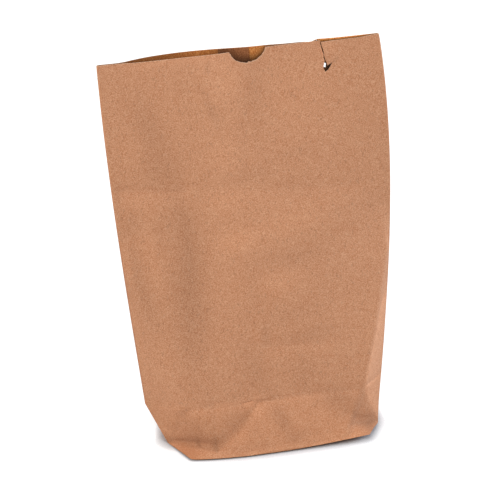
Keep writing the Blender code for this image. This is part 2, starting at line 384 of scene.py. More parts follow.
# Fold marks of the front, with how far they stand out, in millimetres
FRONT_MARKS: tuple[Crease | Swell, ...] = (
    # Cross fold at two thirds of the height, from when the bag lay packed
    Crease((-99.0, 193.0), (-46.0, 189.5), -1.00, 7.0, 7.0, 0.12),
    Crease((-50.0, 190.5), (84.0, 174.0), -0.55, 8.0, 9.0, 0.2),
    # Slanting mark below the mouth, left of the notch
    Crease((-41.0, 284.0), (-29.0, 236.0), 1.00, 9.0, 3.5, 0.35),
    Crease((-50.0, 272.0), (-31.0, 232.0), -0.60, 3.5, 6.0, 0.3),
    # Faint centre line down the front
    Crease((-5.5, 262.0), (-9.5, 186.0), -0.60, 3.5, 4.0, 0.25),
    Crease((-9.0, 110.0), (-22.0, 36.0), -0.35, 7.0, 6.0, 0.3),
    # Long soft valley and ridge down the left third
    Crease((-53.0, 196.0), (-44.0, 95.0), -0.90, 12.0, 10.0, 0.3),
    Crease((-76.0, 190.0), (-66.0, 90.0), 0.60, 10.0, 10.0, 0.3),
    # Short fold above the bottom, and the bands over it
    Crease((-9.0, 73.5), (43.0, 69.0), -0.55, 5.0, 4.0, 0.12),
    Swell((30.0, 166.0), 0.5, (34.0, 9.0), -4.0),
    Swell((28.0, 143.0), -0.5, (30.0, 8.0), -4.0),
    Swell((6.0, 118.0), 0.5, (14.0, 9.0)),
    Swell((30.0, 98.0), -0.5, (34.0, 12.0)),
    Swell((-10.0, 45.0), -0.5, (10.0, 18.0)),
    # The front lies flatter than the back at the left of the mouth
    Swell((-50.0, 290.0), -1.5, (24.0, 45.0)),
    # Cross crease where the front meets the folded bottom, broken near its middle
    Crease((-66.0, 31.0), (-36.0, 36.6), -0.20, 6.0, 4.0, 0.3),
    Crease((-46.0, 36.4), (-11.5, 36.2), -0.40, 5.0, 4.0, 0.12),
    Crease((-13.0, 36.8), (-7.0, 31.2), -0.25, 3.0, 2.5, 0.3),
    Crease((-8.5, 31.0), (1.0, 37.2), -0.25, 2.5, 3.0, 0.3),
    Crease((-2.0, 36.4), (62.0, 33.6), -0.30, 6.0, 4.0, 0.06),
    Crease((-84.0, 27.2), (-57.0, 32.0), 0.30, 5.0, 7.0, 0.25),
    # Ridge that rises from the right end of the cross crease
    Crease((60.3, 31.0), (73.5, 84.0), 0.40, 4.0, 8.0, 0.2),
    Crease((60.0, 34.0), (77.0, 27.0), 0.35, 2.0, 2.0, 0.2),
    # Folds that run up from the left end of the base
    Crease((-74.0, -0.6), (-50.0, 6.2), -0.60, 5.0, 2.0, 0.2),
    Crease((-57.0, 5.0), (-38.0, 5.4), -0.90, 5.0, 2.0, 0.25),
    Crease((-45.0, 4.4), (-24.0, 17.6), -0.85, 5.0, 2.5, 0.2),
    Crease((-31.0, 13.0), (-10.5, 36.5), -0.80, 6.0, 3.0, 0.25),
    Swell((-24.5, 6.0), -0.5, (8.0, 5.0)),
    # Fold down from the break in the cross crease
    Crease((-7.0, 33.0), (4.5, 13.0), 0.60, 6.0, 4.0, 0.3),
    Crease((1.5, 16.0), (14.0, 5.0), 0.45, 6.0, 4.0, 0.35),
    # Fold at the right end of the base, and the lighter roll along the bottom
    Crease((50.0, 13.0), (72.0, 2.8), -1.30, 6.0, 2.0, 0.15),
    Crease((44.5, 21.0), (55.0, 10.6), -0.60, 6.0, 4.0, 0.35),
    Crease((10.0, 4.2), (60.0, 5.0), 0.50, 7.0, 1.6, 0.25),
)


# Painted light and shade on the front, as shares of the paper's own lightness: painted shade and
# painted highlights along creases and facets, and painted highlights on the rims of the mouth and
# the bottom edge
# They were placed one by one and stand for creases that are too shallow to model
FRONT_PAINTED_LIGHT_AND_SHADE: tuple[Crease | Swell, ...] = (
    # Above and along the folds at the left end of the base
    Crease((-74.0, 0.2), (-51.0, 5.8), -0.20, 8.0, 0.3, 0.10),
    Crease((-56.0, 5.3), (-40.0, 5.2), -0.20, 8.0, 0.4, 0.20),
    Crease((-45.0, 3.6), (-25.0, 17.0), -0.17, 5.0, 0.6, 0.12),
    Crease((-28.0, 14.2), (-10.6, 36.6), -0.15, 5.5, 0.7, 0.15),
    Swell((-51.0, 9.0), -0.14, (12.0, 4.0)),
    Swell((-63.0, 5.0), -0.15, (6.0, 1.5), 12.0),
    Swell((-20.0, 20.0), -0.10, (4.5, 5.0)),
    Swell((-28.0, 4.0), -0.09, (8.0, 3.5), 5.0),
    Swell((-71.0, 10.0), 0.16, (5.0, 3.5)),
    Swell((-67.0, 24.0), 0.10, (6.5, 6.5)),
    Swell((-55.0, 21.0), -0.09, (6.0, 5.0)),
    # Along the cross crease and round its break
    Crease((-62.0, 31.0), (-36.0, 36.8), 0.07, 0.3, 6.0, 0.2),
    Crease((-42.0, 36.4), (-11.5, 36.0), 0.09, 0.3, 6.0, 0.1),
    Crease((-5.0, 35.6), (34.0, 34.2), 0.03, 0.3, 5.0, 0.1),
    Swell((-18.0, 33.0), 0.09, (5.5, 4.0)),
    Swell((-63.0, 27.0), 0.04, (3.0, 6.0), -20.0),
    Swell((-12.0, 6.0), -0.08, (6.0, 2.5)),
    Swell((-17.0, 35.0), 0.09, (6.0, 3.5), 5.0),
    Swell((3.0, 22.0), -0.16, (3.5, 9.0), 25.0),
    Swell((14.0, 10.0), -0.09, (9.0, 3.5), 8.0),
    # The right end of the base and the facet above it
    Crease((46.5, 13.5), (76.0, 3.0), -0.21, 9.5, 0.5, 0.15),
    Swell((47.0, 24.0), -0.17, (12.0, 6.0), -35.0),
    Swell((58.0, 9.0), -0.20, (6.0, 3.0), -20.0),
    Swell((66.0, 6.0), -0.20, (5.0, 2.0), -20.0),
    Swell((58.0, 16.0), 0.12, (5.0, 3.5)),
    Crease((-32.0, 1.6), (63.0, 5.6), 0.10, 1.4, 1.4, 0.15),
    Swell((48.0, 30.0), -0.07, (13.0, 2.5)),
    Crease((60.5, 32.6), (80.5, 96.0), 0.21, 0.5, 13.0, 0.12),
    Crease((60.6, 34.2), (71.5, 4.5), 0.15, 8.0, 0.5, 0.08),
    Crease((60.3, 34.6), (78.0, 26.6), 0.14, 0.6, 0.6, 0.10),
    Crease((72.5, 12.0), (82.0, 112.0), 0.05, 4.0, 4.0, 0.25),
    Swell((38.0, 5.0), 0.14, (16.0, 2.0), 10.0),
    # Down the left third
    Swell((-70.0, 160.0), -0.05, (5.0, 12.0)),
    Swell((-63.0, 128.0), -0.04, (6.0, 12.0)),
    Swell((-62.0, 75.0), -0.03, (14.0, 45.0)),
    Swell((-51.0, 161.0), -0.10, (7.5, 22.0), 8.0),
    Swell((-51.0, 128.0), -0.10, (8.0, 25.0), 4.0),
    Swell((-54.0, 95.0), -0.10, (8.0, 22.0)),
    Swell((-88.0, 141.0), -0.12, (5.5, 22.0), 8.0),
    Swell((-81.0, 106.0), -0.10, (6.0, 20.0), 8.0),
    Swell((-85.0, 171.0), -0.07, (4.5, 5.0)),
    # Painted highlight on the rim of the mouth, and short painted marks of light and shade below
    # it and beside the tear
    Crease((-84.0, 285.5), (-20.0, 285.5), 0.09, 2.0, 3.0, 0.15),
    Crease((-31.0, 283.5), (-34.0, 274.5), -0.15, 0.9, 0.5, 0.3),
    Swell((48.0, 281.0), 0.10, (3.5, 3.5)),
    Crease((50.6, 269.0), (55.6, 273.6), -0.13, 0.5, 0.9, 0.3),
    # The upper left
    Swell((-80.0, 259.0), -0.07, (8.0, 18.5), 20.0),
    Swell((-71.0, 232.0), -0.09, (8.5, 14.5), 25.0),
    Swell((-68.0, 207.0), -0.09, (12.0, 10.0)),
    Swell((-22.0, 269.0), 0.10, (10.0, 18.5)),
    Swell((-34.0, 253.0), -0.09, (2.0, 14.5), 20.0),
    Swell((-25.0, 214.0), 0.07, (9.0, 10.0)),
    Swell((-28.0, 183.0), 0.07, (12.0, 7.5), 5.0),
    Swell((-19.0, 151.0), 0.09, (9.0, 6.5), 8.0),
    # The upper right
    Swell((-2.0, 253.0), -0.07, (5.5, 22.0)),
    Swell((24.0, 254.0), 0.05, (21.0, 22.0)),
    Swell((-6.0, 197.0), -0.07, (10.5, 4.0), 8.0),
    Swell((24.0, 208.0), -0.05, (13.0, 4.0)),
    Swell((23.0, 185.0), -0.04, (10.5, 7.5)),
    # Bands across the right half
    Swell((-10.0, 118.0), -0.06, (4.5, 9.0)),
    Swell((15.0, 158.0), 0.10, (21.0, 7.5), 8.0),
    Swell((18.0, 134.0), -0.09, (18.5, 6.0), 3.0),
    Swell((7.0, 117.0), 0.09, (13.0, 7.5), 3.0),
    Swell((16.0, 93.0), -0.05, (16.0, 5.0), 3.0),
    Swell((28.0, 79.0), -0.07, (13.0, 4.0), 3.0),
    Swell((-4.0, 82.0), -0.09, (2.5, 6.0)),
    Swell((-13.0, 59.0), -0.07, (5.5, 17.0), 15.0),
    Swell((20.0, 52.0), -0.05, (6.0, 10.0)),
)


# Painted light and shade on the inner face, as seen past the mouth and the tear: painted shade
# deep in the hook of the tear, and lighter and darker places along the mouth
INNER_PAINTED_LIGHT_AND_SHADE: tuple[Swell, ...] = (
    Swell((48.6, 266.0), -0.90, (4.5, 5.0)),
    Swell((62.0, 288.0), 0.90, (17.0, 3.0)),
    Swell((-60.0, 288.0), -0.22, (12.0, 12.0)),
    Swell((-34.0, 288.0), 0.15, (6.0, 12.0)),
    Swell((1.0, 284.0), -0.14, (7.0, 12.0)),
)


# Painted warm light at the two front corners of the base, standing for light bounced from the
# table and let through the paper, in shares of the fold's tone
CORNER_PAINTED_BOUNCE_LIGHT: tuple[Swell, ...] = (
    Swell((-60.0, 0.0), 0.38, (6.4, 2.5)),
    Swell((60.0, 0.0), 0.20, (7.1, 4.2)),
)


def spaced(density: np.ndarray, steps: int) -> np.ndarray:
    """Gives shares from 0 to 1 that lie closer together where a density is high.

    The running sum of the density, by the trapezium rule, is cut into equal steps.

    Args:
        density: The density at even places from 0 to 1.
        steps: How many steps the shares have between them.

    Returns:
        The shares, one more than the steps.
    """
    total = np.concatenate([[0.0], np.cumsum((density[1:] + density[:-1]) / 2)])
    even = np.linspace(0.0, 1.0, steps + 1)
    return np.interp(even, total / total[-1], np.linspace(0.0, 1.0, len(density)))


@dataclass(frozen=True)
class Grid:
    """How finely a wall is divided: steps in each ramp, between the ridges, upwards.

    Each gain adds to the density of the grid: at fine_at between the ridges, at the
    crease, and from mouth_from up to the mouth.
    """

    ramp_steps: int
    inner_steps: int
    rows: int = 150
    band_rows: int = 26
    fine_at: float = 0.0
    fine_width: float = 0.02
    fine_gain: float = 0.0
    crease_gain: float = 0.7
    crease_reach: float = 0.05
    mouth_gain: float = 0.9
    mouth_from: float = 0.86
    mouth_over: float = 0.06
    ground_power: float = 1.4
    samples: int = 4001

    def inner_shares(self) -> np.ndarray:
        """Gives shares from 0 to 1 between the ridges, closer together at fine_at."""
        off = (np.linspace(0.0, 1.0, self.samples) - self.fine_at) / self.fine_width
        return spaced(1.0 + self.fine_gain * np.exp(-(off**2)), self.inner_steps)

    def rises(self) -> np.ndarray:
        """Gives rises that are closer together at the crease and the mouth.

        Returns:
            One column of rises from 0 to 1.
        """
        fine = np.linspace(0.0, 1.0, self.samples)
        at_crease = self.crease_gain * np.exp(-fine / self.crease_reach)
        at_mouth = self.mouth_gain * smooth((fine - self.mouth_from) / self.mouth_over)
        return spaced(1.0 + at_crease + at_mouth, self.rows)[:, None]

    def band_shares(self) -> np.ndarray:
        """Gives shares of the height below the crease, closer together at the ground."""
        even = np.linspace(0.0, 1.0, self.band_rows + 1)
        return (even**self.ground_power)[:, None, None]

    def places(self, form: BagForm, rise: np.ndarray) -> np.ndarray:
        """Gives the places across for each rise, with a column on each ridge.

        Args:
            form: The bag's sizes.
            rise: One column of rises.

        Returns:
            Rows of places from -1 to 1.
        """
        fold = np.full_like(rise, 1.0 - 2.0 * form.side_fold / form.tube_width)
        left, right = form.ridge(rise, -1), form.ridge(rise, 1)
        ramp = np.linspace(0.0, 1.0, self.ramp_steps + 1)[None, :]
        inner = self.inner_shares()[None, 1:-1]
        one = np.ones_like(rise)
        return np.concatenate(
            [
                -one,
                -fold + (fold - left) * ramp,
                -left + (left + right) * inner,
                right + (fold - right) * ramp,
                one,
            ],
            axis=1,
        )


@dataclass
class Patches:
    """Collects grids of points and welds them into one mesh."""

    points: list[np.ndarray] = field(default_factory=list)
    faces: list[tuple[int, ...]] = field(default_factory=list)
    count: int = 0

    def add_grid(self, points: np.ndarray, flip: bool = False) -> None:
        """Adds a grid of quads.

        Args:
            points: Points by row and column.
            flip: Turns the faces round.
        """
        rows, columns = points.shape[:2]
        index = np.arange(rows * columns).reshape(rows, columns) + self.count
        quads = np.stack([index[:-1, :-1], index[:-1, 1:], index[1:, 1:], index[1:, :-1]], -1)
        quads = quads.reshape(-1, 4)
        self.points.append(points.reshape(-1, 3))
        self.faces.extend(map(tuple, (quads[:, ::-1] if flip else quads).tolist()))
        self.count += rows * columns

    def add_faces(self, points: np.ndarray, faces: list[tuple[int, ...]]) -> None:
        """Adds a patch of any faces.

        Args:
            points: The patch's points.
            faces: Its faces, whose numbers count from the first of its points.
        """
        self.points.append(points)
        self.faces.extend(tuple(i + self.count for i in face) for face in faces)
        self.count += len(points)

    def mesh(self, name: str) -> bpy.types.Mesh:
        """Welds what was added into one mesh whose faces all point one way.

        A face that has more than four corners once short edges are gone is cut into
        triangles.

        Args:
            name: Name of the mesh.

        Returns:
            The mesh.
        """
        mesh = bpy.data.meshes.new(name)
        mesh.from_pydata(np.concatenate(self.points).tolist(), [], self.faces)
        bm = bmesh.new()
        bm.from_mesh(mesh)
        bmesh.ops.remove_doubles(bm, verts=bm.verts[:], dist=WELD)
        bmesh.ops.dissolve_degenerate(bm, edges=bm.edges[:], dist=WELD)
        bmesh.ops.triangulate(bm, faces=[f for f in bm.faces if len(f.verts) > 4])
        bmesh.ops.recalc_face_normals(bm, faces=bm.faces[:])
        bm.to_mesh(mesh)
        bm.free()
        return mesh


def put(mesh: bpy.types.Mesh) -> bpy.types.Object:
    """Links a mesh as an object of the same name, unturned at the origin.

    Args:
        mesh: The mesh.

    Returns:
        The object.
    """
    obj = bpy.data.objects.new(mesh.name, mesh)
    bpy.context.scene.collection.objects.link(obj)
    return obj


def filled(outline: np.ndarray, step: float) -> tuple[np.ndarray, list[tuple[int, ...]]]:
    """Fills a closed outline on the ground with triangles about as long as a step.

    Grid points nearer to the outline than a third of a step are left out, so that no
    triangle is a sliver.

    Args:
        outline: X and Y of its corners, anticlockwise.
        step: Distance between the points inside it.

    Returns:
        The points, with Z 0, and the triangles.
    """
    low, high = outline.min(axis=0), outline.max(axis=0)
    xs, ys = (np.arange(a + step / 2, b, step) for a, b in zip(low, high))
    grid = np.array(np.meshgrid(xs, ys)).reshape(2, -1).T
    run = np.roll(outline, -1, axis=0) - outline
    off = grid[:, None] - outline[None]
    cross = run[None, :, 0] * off[..., 1] - run[None, :, 1] * off[..., 0]
    inside = (cross / np.linalg.norm(run, axis=1) > step / 3).all(axis=1)
    corners = [Vector(point) for point in np.concatenate([outline, grid[inside]]).tolist()]
    count = len(outline)
    ring = [(i, (i + 1) % count) for i in range(count)]
    only_inside, nearness = 1, 1e-9
    verts, _, faces, *_ = delaunay_2d_cdt(
        corners, ring, [list(range(count))], only_inside, nearness
    )
    points = np.array([(v.x, v.y, 0.0) for v in verts])
    return points, [tuple(face) for face in faces]


def ladder(low: np.ndarray, high: np.ndarray, steps: int = 60) -> list[np.ndarray]:
    """Fills the strip between two chains of points with triangles.

    Args:
        low: The lower chain.
        high: The upper chain, which runs the same way.
        steps: How many rungs the strip is cut into.

    Returns:
        Triangles, three points each.
    """
    shares = np.linspace(0.0, 1.0, steps + 1)

    def along(chain: np.ndarray) -> np.ndarray:
        """Gives points at even shares of a chain."""
        own = np.linspace(0.0, 1.0, len(chain))
        return np.column_stack([np.interp(shares, own, chain[:, i]) for i in range(3)])

    a, b = along(low), along(high)
    first = [np.array([a[i], a[i + 1], b[i + 1]]) for i in range(steps)]
    second = [np.array([a[i], b[i + 1], b[i]]) for i in range(steps)]
    return first + second


def fan(hub: np.ndarray, rim: np.ndarray) -> list[np.ndarray]:
    """Gives the triangles from a hub to each step of a rim."""
    return [np.array([hub, a, b]) for a, b in zip(rim[:-1], rim[1:])]


def facet_depth(facets: np.ndarray, x: np.ndarray, z: np.ndarray) -> np.ndarray:
    """Reads Y off a set of facets that together make one height field over X and Z.

    Each point takes the facet in which its least barycentric share is greatest, so a
    point just outside all of them is read off the nearest one. A facet that is seen
    edge on in X and Z is passed over.

    Args:
        facets: Triangles, as count by corner by coordinate.
        x: X of the points.
        z: Z of the points.

    Returns:
        Y of the points.
    """
    edge_on = 1e-12
    ax, ay, az = facets[:, 0].T
    bx, by, bz = facets[:, 1].T
    cx, cy, cz = facets[:, 2].T
    area = (bz - cz) * (ax - cx) + (cx - bx) * (az - cz)
    good = np.abs(area) > edge_on
    px, pz = x.reshape(-1, 1), z.reshape(-1, 1)
    area = np.where(good, area, 1.0)
    first = ((bz - cz) * (px - cx) + (cx - bx) * (pz - cz)) / area
    second = ((cz - az) * (px - cx) + (ax - cx) * (pz - cz)) / area
    third = 1.0 - first - second
    least = np.where(good, np.minimum(np.minimum(first, second), third), -np.inf)
    best = least.argmax(axis=1)[:, None]
    depth = first * ay + second * by + third * cy
    return np.take_along_axis(depth, best, axis=1).reshape(x.shape)


@dataclass(frozen=True)
class MouthEdge:
    """How the cut edge of the mouth rises and falls a little, most of all at the tear.

    Right of the tear the front hangs lower and stands off, in a step that lies in the
    tear, and the back stands higher. Left of the tear the back sinks. A hump and the
    waves are each a height, the X of its middle and its reach.
    """

    form: BagForm
    from_rise: float = 0.88
    step_width: float = 0.0005
    front_tear_x: float = 0.0434
    front_tear_lean: float = 0.13
    front_hang: float = 0.0010
    front_hang_end: float = 0.016
    front_off: float = 0.0007
    front_off_reach: float = 0.004
    front_off_rise: float = 0.92
    front_off_over: float = 0.05
    front_hump: tuple[float, float, float] = (0.0005, -0.050, 0.024)
    back_tear_x: float = 0.0411
    back_raised: float = 0.0008
    back_raised_reach: float = 0.012
    back_sunk: float = 0.0022
    back_sunk_reach: float = 0.004
    back_waves: tuple[tuple[float, float, float], ...] = (
        (-0.0007, -0.086, 0.010),
        (0.0004, 0.009, 0.009),
    )

    def past(self, x: np.ndarray, torn: np.ndarray | float) -> np.ndarray:
        """Gives 0 left of a tear and 1 right of it, with a short step between."""
        return smooth((x - torn) / self.step_width + 0.5)

    def wave(self, wave: tuple[float, float, float], x: np.ndarray) -> np.ndarray:
        """Gives the height of a Gaussian hump or hollow along the edge.

        Args:
            wave: Its height, the X of its middle and its reach.
            x: X of the points.

        Returns:
            The height at each point.
        """
        height, middle, reach = wave
        return height * np.exp(-(((x - middle) / reach) ** 2))

    def shape_front(self, points: np.ndarray, rise: np.ndarray) -> None:
        """Moves the front's points near the mouth.

        Args:
            points: Points of the front by row and column, which are changed.
            rise: One column of rises.
        """
        x = points[..., 0]
        near_mouth = smooth((rise - self.from_rise) / (1.0 - self.from_rise))
        torn = self.front_tear_x + self.front_tear_lean * (self.form.mouth_z - points[..., 2])
        right = self.past(x, torn)
        to_corner = smooth((self.form.mouth_right - x) / self.front_hang_end)
        points[..., 2] -= self.front_hang * right * to_corner * near_mouth
        points[..., 2] += self.wave(self.front_hump, x) * near_mouth
        lifted = right * np.exp(-np.maximum(x - torn, 0.0) / self.front_off_reach)
        high = smooth((rise - self.front_off_rise) / self.front_off_over)
        points[..., 1] -= self.front_off * lifted * high

    def shape_back(self, points: np.ndarray, rise: np.ndarray) -> None:
        """Moves the back's points near the mouth.

        Args:
            points: Points of the back by row and column, which are changed.
            rise: One column of rises.
        """
        x = points[..., 0]
        near_mouth = smooth((rise - self.from_rise) / (1.0 - self.from_rise))
        from_tear = x - self.back_tear_x
        right = self.past(x, self.back_tear_x)
        raised = right * np.exp(-np.maximum(from_tear, 0.0) / self.back_raised_reach)
        sunk = (1.0 - right) * np.exp(np.minimum(from_tear, 0.0) / self.back_sunk_reach)
        points[..., 2] += self.back_raised * raised * near_mouth
        points[..., 2] -= self.back_sunk * sunk * near_mouth
        for wave in self.back_waves:
            points[..., 2] += self.wave(wave, x) * near_mouth


@dataclass
class PaperTube:
    """The folded sheet: both walls, the creased bottom and the tips, as one skin.

    A kink is where a tip's lower fold touches the ground, and a dent is the deepest
    point of the folded corner above it. The soft values round the folds between the
    facets, and the lift values raise the front fold of the base off the ground.
    """

    form: BagForm = field(default_factory=BagForm)
    front: Grid = Grid(
        ramp_steps=20,
        inner_steps=120,
        rows=160,
        band_rows=38,
        fine_at=0.818,
        fine_width=0.022,
        fine_gain=2.2,
    )
    back: Grid = Grid(ramp_steps=8, inner_steps=40, rows=160, band_rows=38)
    still_fold: float = 0.006
    kink_left: tuple[float, float] = (0.0111, 0.0249)
    kink_right: tuple[float, float] = (0.0094, 0.0159)
    dent_left: tuple[float, float, float] = (0.0181, 0.0059, 0.0025)
    dent_right: tuple[float, float, float] = (0.0110, 0.0101, 0.0027)
    edge_points: int = 41
    facets_meet: float = 0.43
    edge_left: float = 0.25
    edge_right: float = 0.875
    tip_steps: int = 8
    base_step: float = 0.004
    soft_share: float = 0.9
    soft_side: float = 0.3
    soft_reach: float = 0.0025
    soft_turns: int = 10
    soft_rings: tuple[float, ...] = (0.5, 1.0)
    still_foot: float = 0.003
    still_tip: float = 0.015
    lift_low: float = 0.0009
    lift_high: float = 0.0048
    lift_reach: float = 0.061
    lift_power: float = 1.5
    lift_forward: float = 1.64
    lift_fade: float = 1.5
    lift_behind: float = 0.030
    front_limit: float = 0.04010

    def kink(self, side: int) -> np.ndarray:
        """Gives the point where the lower fold of a tip touches the ground.

        Args:
            side: -1 for the left tip and 1 for the right one.

        Returns:
            The point.
        """
        out, behind = self.kink_left if side < 0 else self.kink_right
        form = self.form
        return np.array([side * (form.base_length / 2 + out), -form.base_depth / 2 + behind, 0.0])

    def dent(self, side: int) -> np.ndarray:
        """Gives the deepest point of a dent in the band below the crease.

        Args:
            side: -1 for the left dent and 1 for the right one.

        Returns:
            The point, set in from the line between the base's fold and the crease.
        """
        along, up, inward = self.dent_left if side < 0 else self.dent_right
        form = self.form
        x = side * (form.base_length / 2 - along)
        foot = float(form.base_fold(np.array(x)))
        lean = (-form.crease_half_depth - foot) * up / form.crease_z
        return np.array([x, foot + lean + inward, up])

    def from_fold(self, across: np.ndarray) -> np.ndarray:
        """Gives the distance along the flat paper from the nearer side fold."""
        return (1.0 - np.abs(across)) * self.form.tube_width / 2

    def wall(self, grid: Grid, side: Side) -> np.ndarray:
        """Works out a wall with its fold marks, which leave the side folds in place.

        Args:
            grid: How finely the wall is divided.
            side: Which wall.

        Returns:
            Points by row and column.
        """
        rise = grid.rises()
        across = grid.places(self.form, rise)
        points = self.form.surface(across, rise, side)
        edge = MouthEdge(self.form)
        if side is Side.FRONT:
            relief = relief_of(FRONT_MARKS, points[..., 0], points[..., 2])
            points[..., 1] -= relief * smooth(self.from_fold(across) / self.still_fold)
            edge.shape_front(points, rise)
        else:
            edge.shape_back(points, rise)
        return points

    def front_facets(self, crease: np.ndarray) -> np.ndarray:
        """Gives the facets of the lower front, from the ground to the crease.

        Args:
            crease: Points of the lowest row of the front wall, from tip to tip.

        Returns:
            Triangles, as count by corner by coordinate.
        """
        form = self.form
        x = np.linspace(-form.base_length / 2, form.base_length / 2, self.edge_points)
        edge = np.column_stack([x, form.base_fold(x), np.zeros_like(x)])
        corner = self.front.ramp_steps + 1
        far = len(crease) - 1 - corner
        middle = corner + int(self.facets_meet * (far - corner))
        near = int(self.edge_left * (self.edge_points - 1))
        away = int(self.edge_right * (self.edge_points - 1))
        kink_l, kink_r = self.kink(-1), self.kink(1)
        dent_l, dent_r = self.dent(-1), self.dent(1)
        facets = fan(kink_l, crease[: corner + 1])
        facets.append(np.array([kink_l, dent_l, crease[corner]]))
        facets += fan(dent_l, crease[corner : middle + 1])
        facets.append(np.array([kink_l, edge[0], dent_l]))
        facets += fan(dent_l, edge[: near + 1])
        facets.append(np.array([edge[near], crease[middle], dent_l]))
        facets += ladder(edge[near : away + 1], crease[middle : far + 1])
        facets.append(np.array([edge[away], dent_r, crease[far]]))
        facets += fan(dent_r, edge[away:])
        facets.append(np.array([edge[-1], kink_r, dent_r]))
        facets.append(np.array([dent_r, kink_r, crease[far]]))
        facets += fan(kink_r, crease[far:])
        return np.array(facets)

    def front_foot(self, crease: np.ndarray) -> np.ndarray:
        """Gives the line on which the lower front meets the ground.

        It runs straight from each kink to its corner of the base, and follows the
        bulging fold of the base between the corners.

        Args:
            crease: Points of the lowest row of the front wall, from tip to tip.

        Returns:
            One point for each point of the crease.
        """
        form = self.form
        corner = self.front.ramp_steps + 1
        far = len(crease) - 1 - corner
        kink_l, kink_r = self.kink(-1), self.kink(1)
        half = form.base_length / 2
        front = -form.base_depth / 2
        share = np.linspace(0.0, 1.0, corner + 1)
        inner = self.front.inner_shares()
        x = np.concatenate(
            [
                kink_l[0] + (-half - kink_l[0]) * share,
                (-half + 2 * half * inner)[1:-1],
                half + (kink_r[0] - half) * share,
            ]
        )
        y = form.base_fold(np.clip(x, -half, half))
        y[: corner + 1] = kink_l[1] + (front - kink_l[1]) * share
        y[far:] = front + (kink_r[1] - front) * share
        return np.column_stack([x, y, np.zeros_like(x)])

    def softened(self, facets: np.ndarray, band: np.ndarray, reach: np.ndarray) -> np.ndarray:
        """Averages the facets over rings round each point, which rounds their folds.

        Args:
            facets: Triangles, as count by corner by coordinate.
            band: Points by row and column.
            reach: Radius of the widest ring round each point.

        Returns:
            The mean Y for each point.
        """
        total = np.zeros(band.shape[:2])
        for turn in np.linspace(0.0, 2 * np.pi, self.soft_turns, endpoint=False):
            for ring in self.soft_rings:
                total += facet_depth(
                    facets,
                    band[..., 0] + ring * reach * math.cos(turn),
                    band[..., 2] + ring * reach * math.sin(turn),
                )
        return total / (self.soft_turns * len(self.soft_rings))

    def front_band(self, crease: np.ndarray) -> np.ndarray:
        """Works out the lower front as rows from the ground up to the crease.

        Args:
            crease: Points of the lowest row of the front wall, from tip to tip.

        Returns:
            Points by row and column, with the relief of the fold marks.
        """
        form = self.form
        foot = self.front_foot(crease)
        t = self.front.band_shares()
        band = foot[None] + (crease - foot)[None] * t
        inside = np.minimum(t, 1.0 - t)[..., 0] * form.crease_z * self.soft_share
        from_fold = self.from_fold(self.front.places(form, np.zeros((1, 1))))
        reach = np.minimum(np.minimum(inside, from_fold * self.soft_side), self.soft_reach)
        depth = self.softened(self.front_facets(crease), band, reach)
        relief = relief_of(FRONT_MARKS, band[..., 0], band[..., 2])
        still = smooth(band[..., 2] / self.still_foot) * smooth(from_fold / self.still_tip)
        depth -= relief * still
        band[1:-1, 1:-1, 1] = depth[1:-1, 1:-1]
        return band

    def back_band(self, crease: np.ndarray) -> np.ndarray:
        """Works out the lower back as rows from the ground up to the crease.

        Args:
            crease: Points of the lowest row of the back wall, from tip to tip.

        Returns:
            Points by row and column.
        """
        form = self.form
        corner = self.back.ramp_steps + 1
        half = form.base_length / 2
        inner = np.linspace(-half, half, len(crease) - 2 * corner)
        x = np.concatenate([np.full(corner, -half), inner, np.full(corner, half)])
        foot = np.column_stack([x, np.full_like(x, form.base_depth / 2), np.zeros_like(x)])
        return foot[None] + (crease - foot)[None] * self.back.band_shares()

    def lift(self, points: np.ndarray) -> np.ndarray:
        """Raises the front fold of the base, more and more towards the right.

        The fold rises by a smooth share of its way to the right end, comes forward as
        it rises, and both die away upwards to the crease and backwards over the base.

        Args:
            points: Points of the bottom, in any arrangement.

        Returns:
            The raised points in the same arrangement, none in front of front_limit.
        """
        x, y, z = points[..., 0], points[..., 1], points[..., 2]
        right = np.clip(x / self.lift_reach, 0.0, 1.0) ** self.lift_power
        share = self.lift_low + (self.lift_high - self.lift_low) * right
        upwards = np.clip(1.0 - z / self.form.crease_z, 0.0, 1.0) ** self.lift_fade
        fade = upwards * smooth(-y / self.lift_behind)
        raised = points.copy()
        raised[..., 2] += share * fade
        room = np.maximum(self.form.base_fold(x) + self.front_limit, 0.0)
        forward = np.minimum(share * right * fade * self.lift_forward, room)
        raised[..., 1] = np.maximum(y - forward, -self.front_limit)
        return raised

    def between(self, start: np.ndarray, end: np.ndarray) -> np.ndarray:
        """Gives the points that a tip's lower fold has between its two ends."""
        step = np.linspace(0.0, 1.0, self.tip_steps + 1)[1:-1, None]
        return start + (end - start) * step

    def skin(self) -> bpy.types.Mesh:
        """Builds the whole sheet as one open skin, with the mouth as its only rim.

        Returns:
            The mesh, raised by the sheet's thickness, which is added below it.
        """
        front = self.wall(self.front, Side.FRONT)
        back = self.wall(self.back, Side.BACK)
        flat_band = self.front_band(front[0])
        back_band = self.back_band(back[0])
        step = np.linspace(0.0, 1.0, self.tip_steps + 1)[None, :, None]
        left_tip = flat_band[:, :1] + (back_band[:, :1] - flat_band[:, :1]) * step
        right_tip = flat_band[:, -1:] + (back_band[:, -1:] - flat_band[:, -1:]) * step

        made = Patches()
        made.add_grid(front)
        made.add_grid(back, flip=True)
        made.add_grid(self.lift(flat_band))
        made.add_grid(back_band, flip=True)
        made.add_grid(self.lift(left_tip), flip=True)
        made.add_grid(self.lift(right_tip))
        corner = self.back.ramp_steps + 1
        outline = np.concatenate(
            [
                flat_band[0],
                self.between(flat_band[0, -1], back_band[0, -1]),
                back_band[0, corner:-corner][::-1],
                self.between(back_band[0, 0], flat_band[0, 0]),
            ]
        )
        points, faces = filled(outline[:, :2], self.base_step)
        made.add_faces(self.lift(points), faces)
        mesh = made.mesh("bag_paper")
        mesh.transform(Matrix.Translation((0.0, 0.0, self.form.wall)))
        return mesh


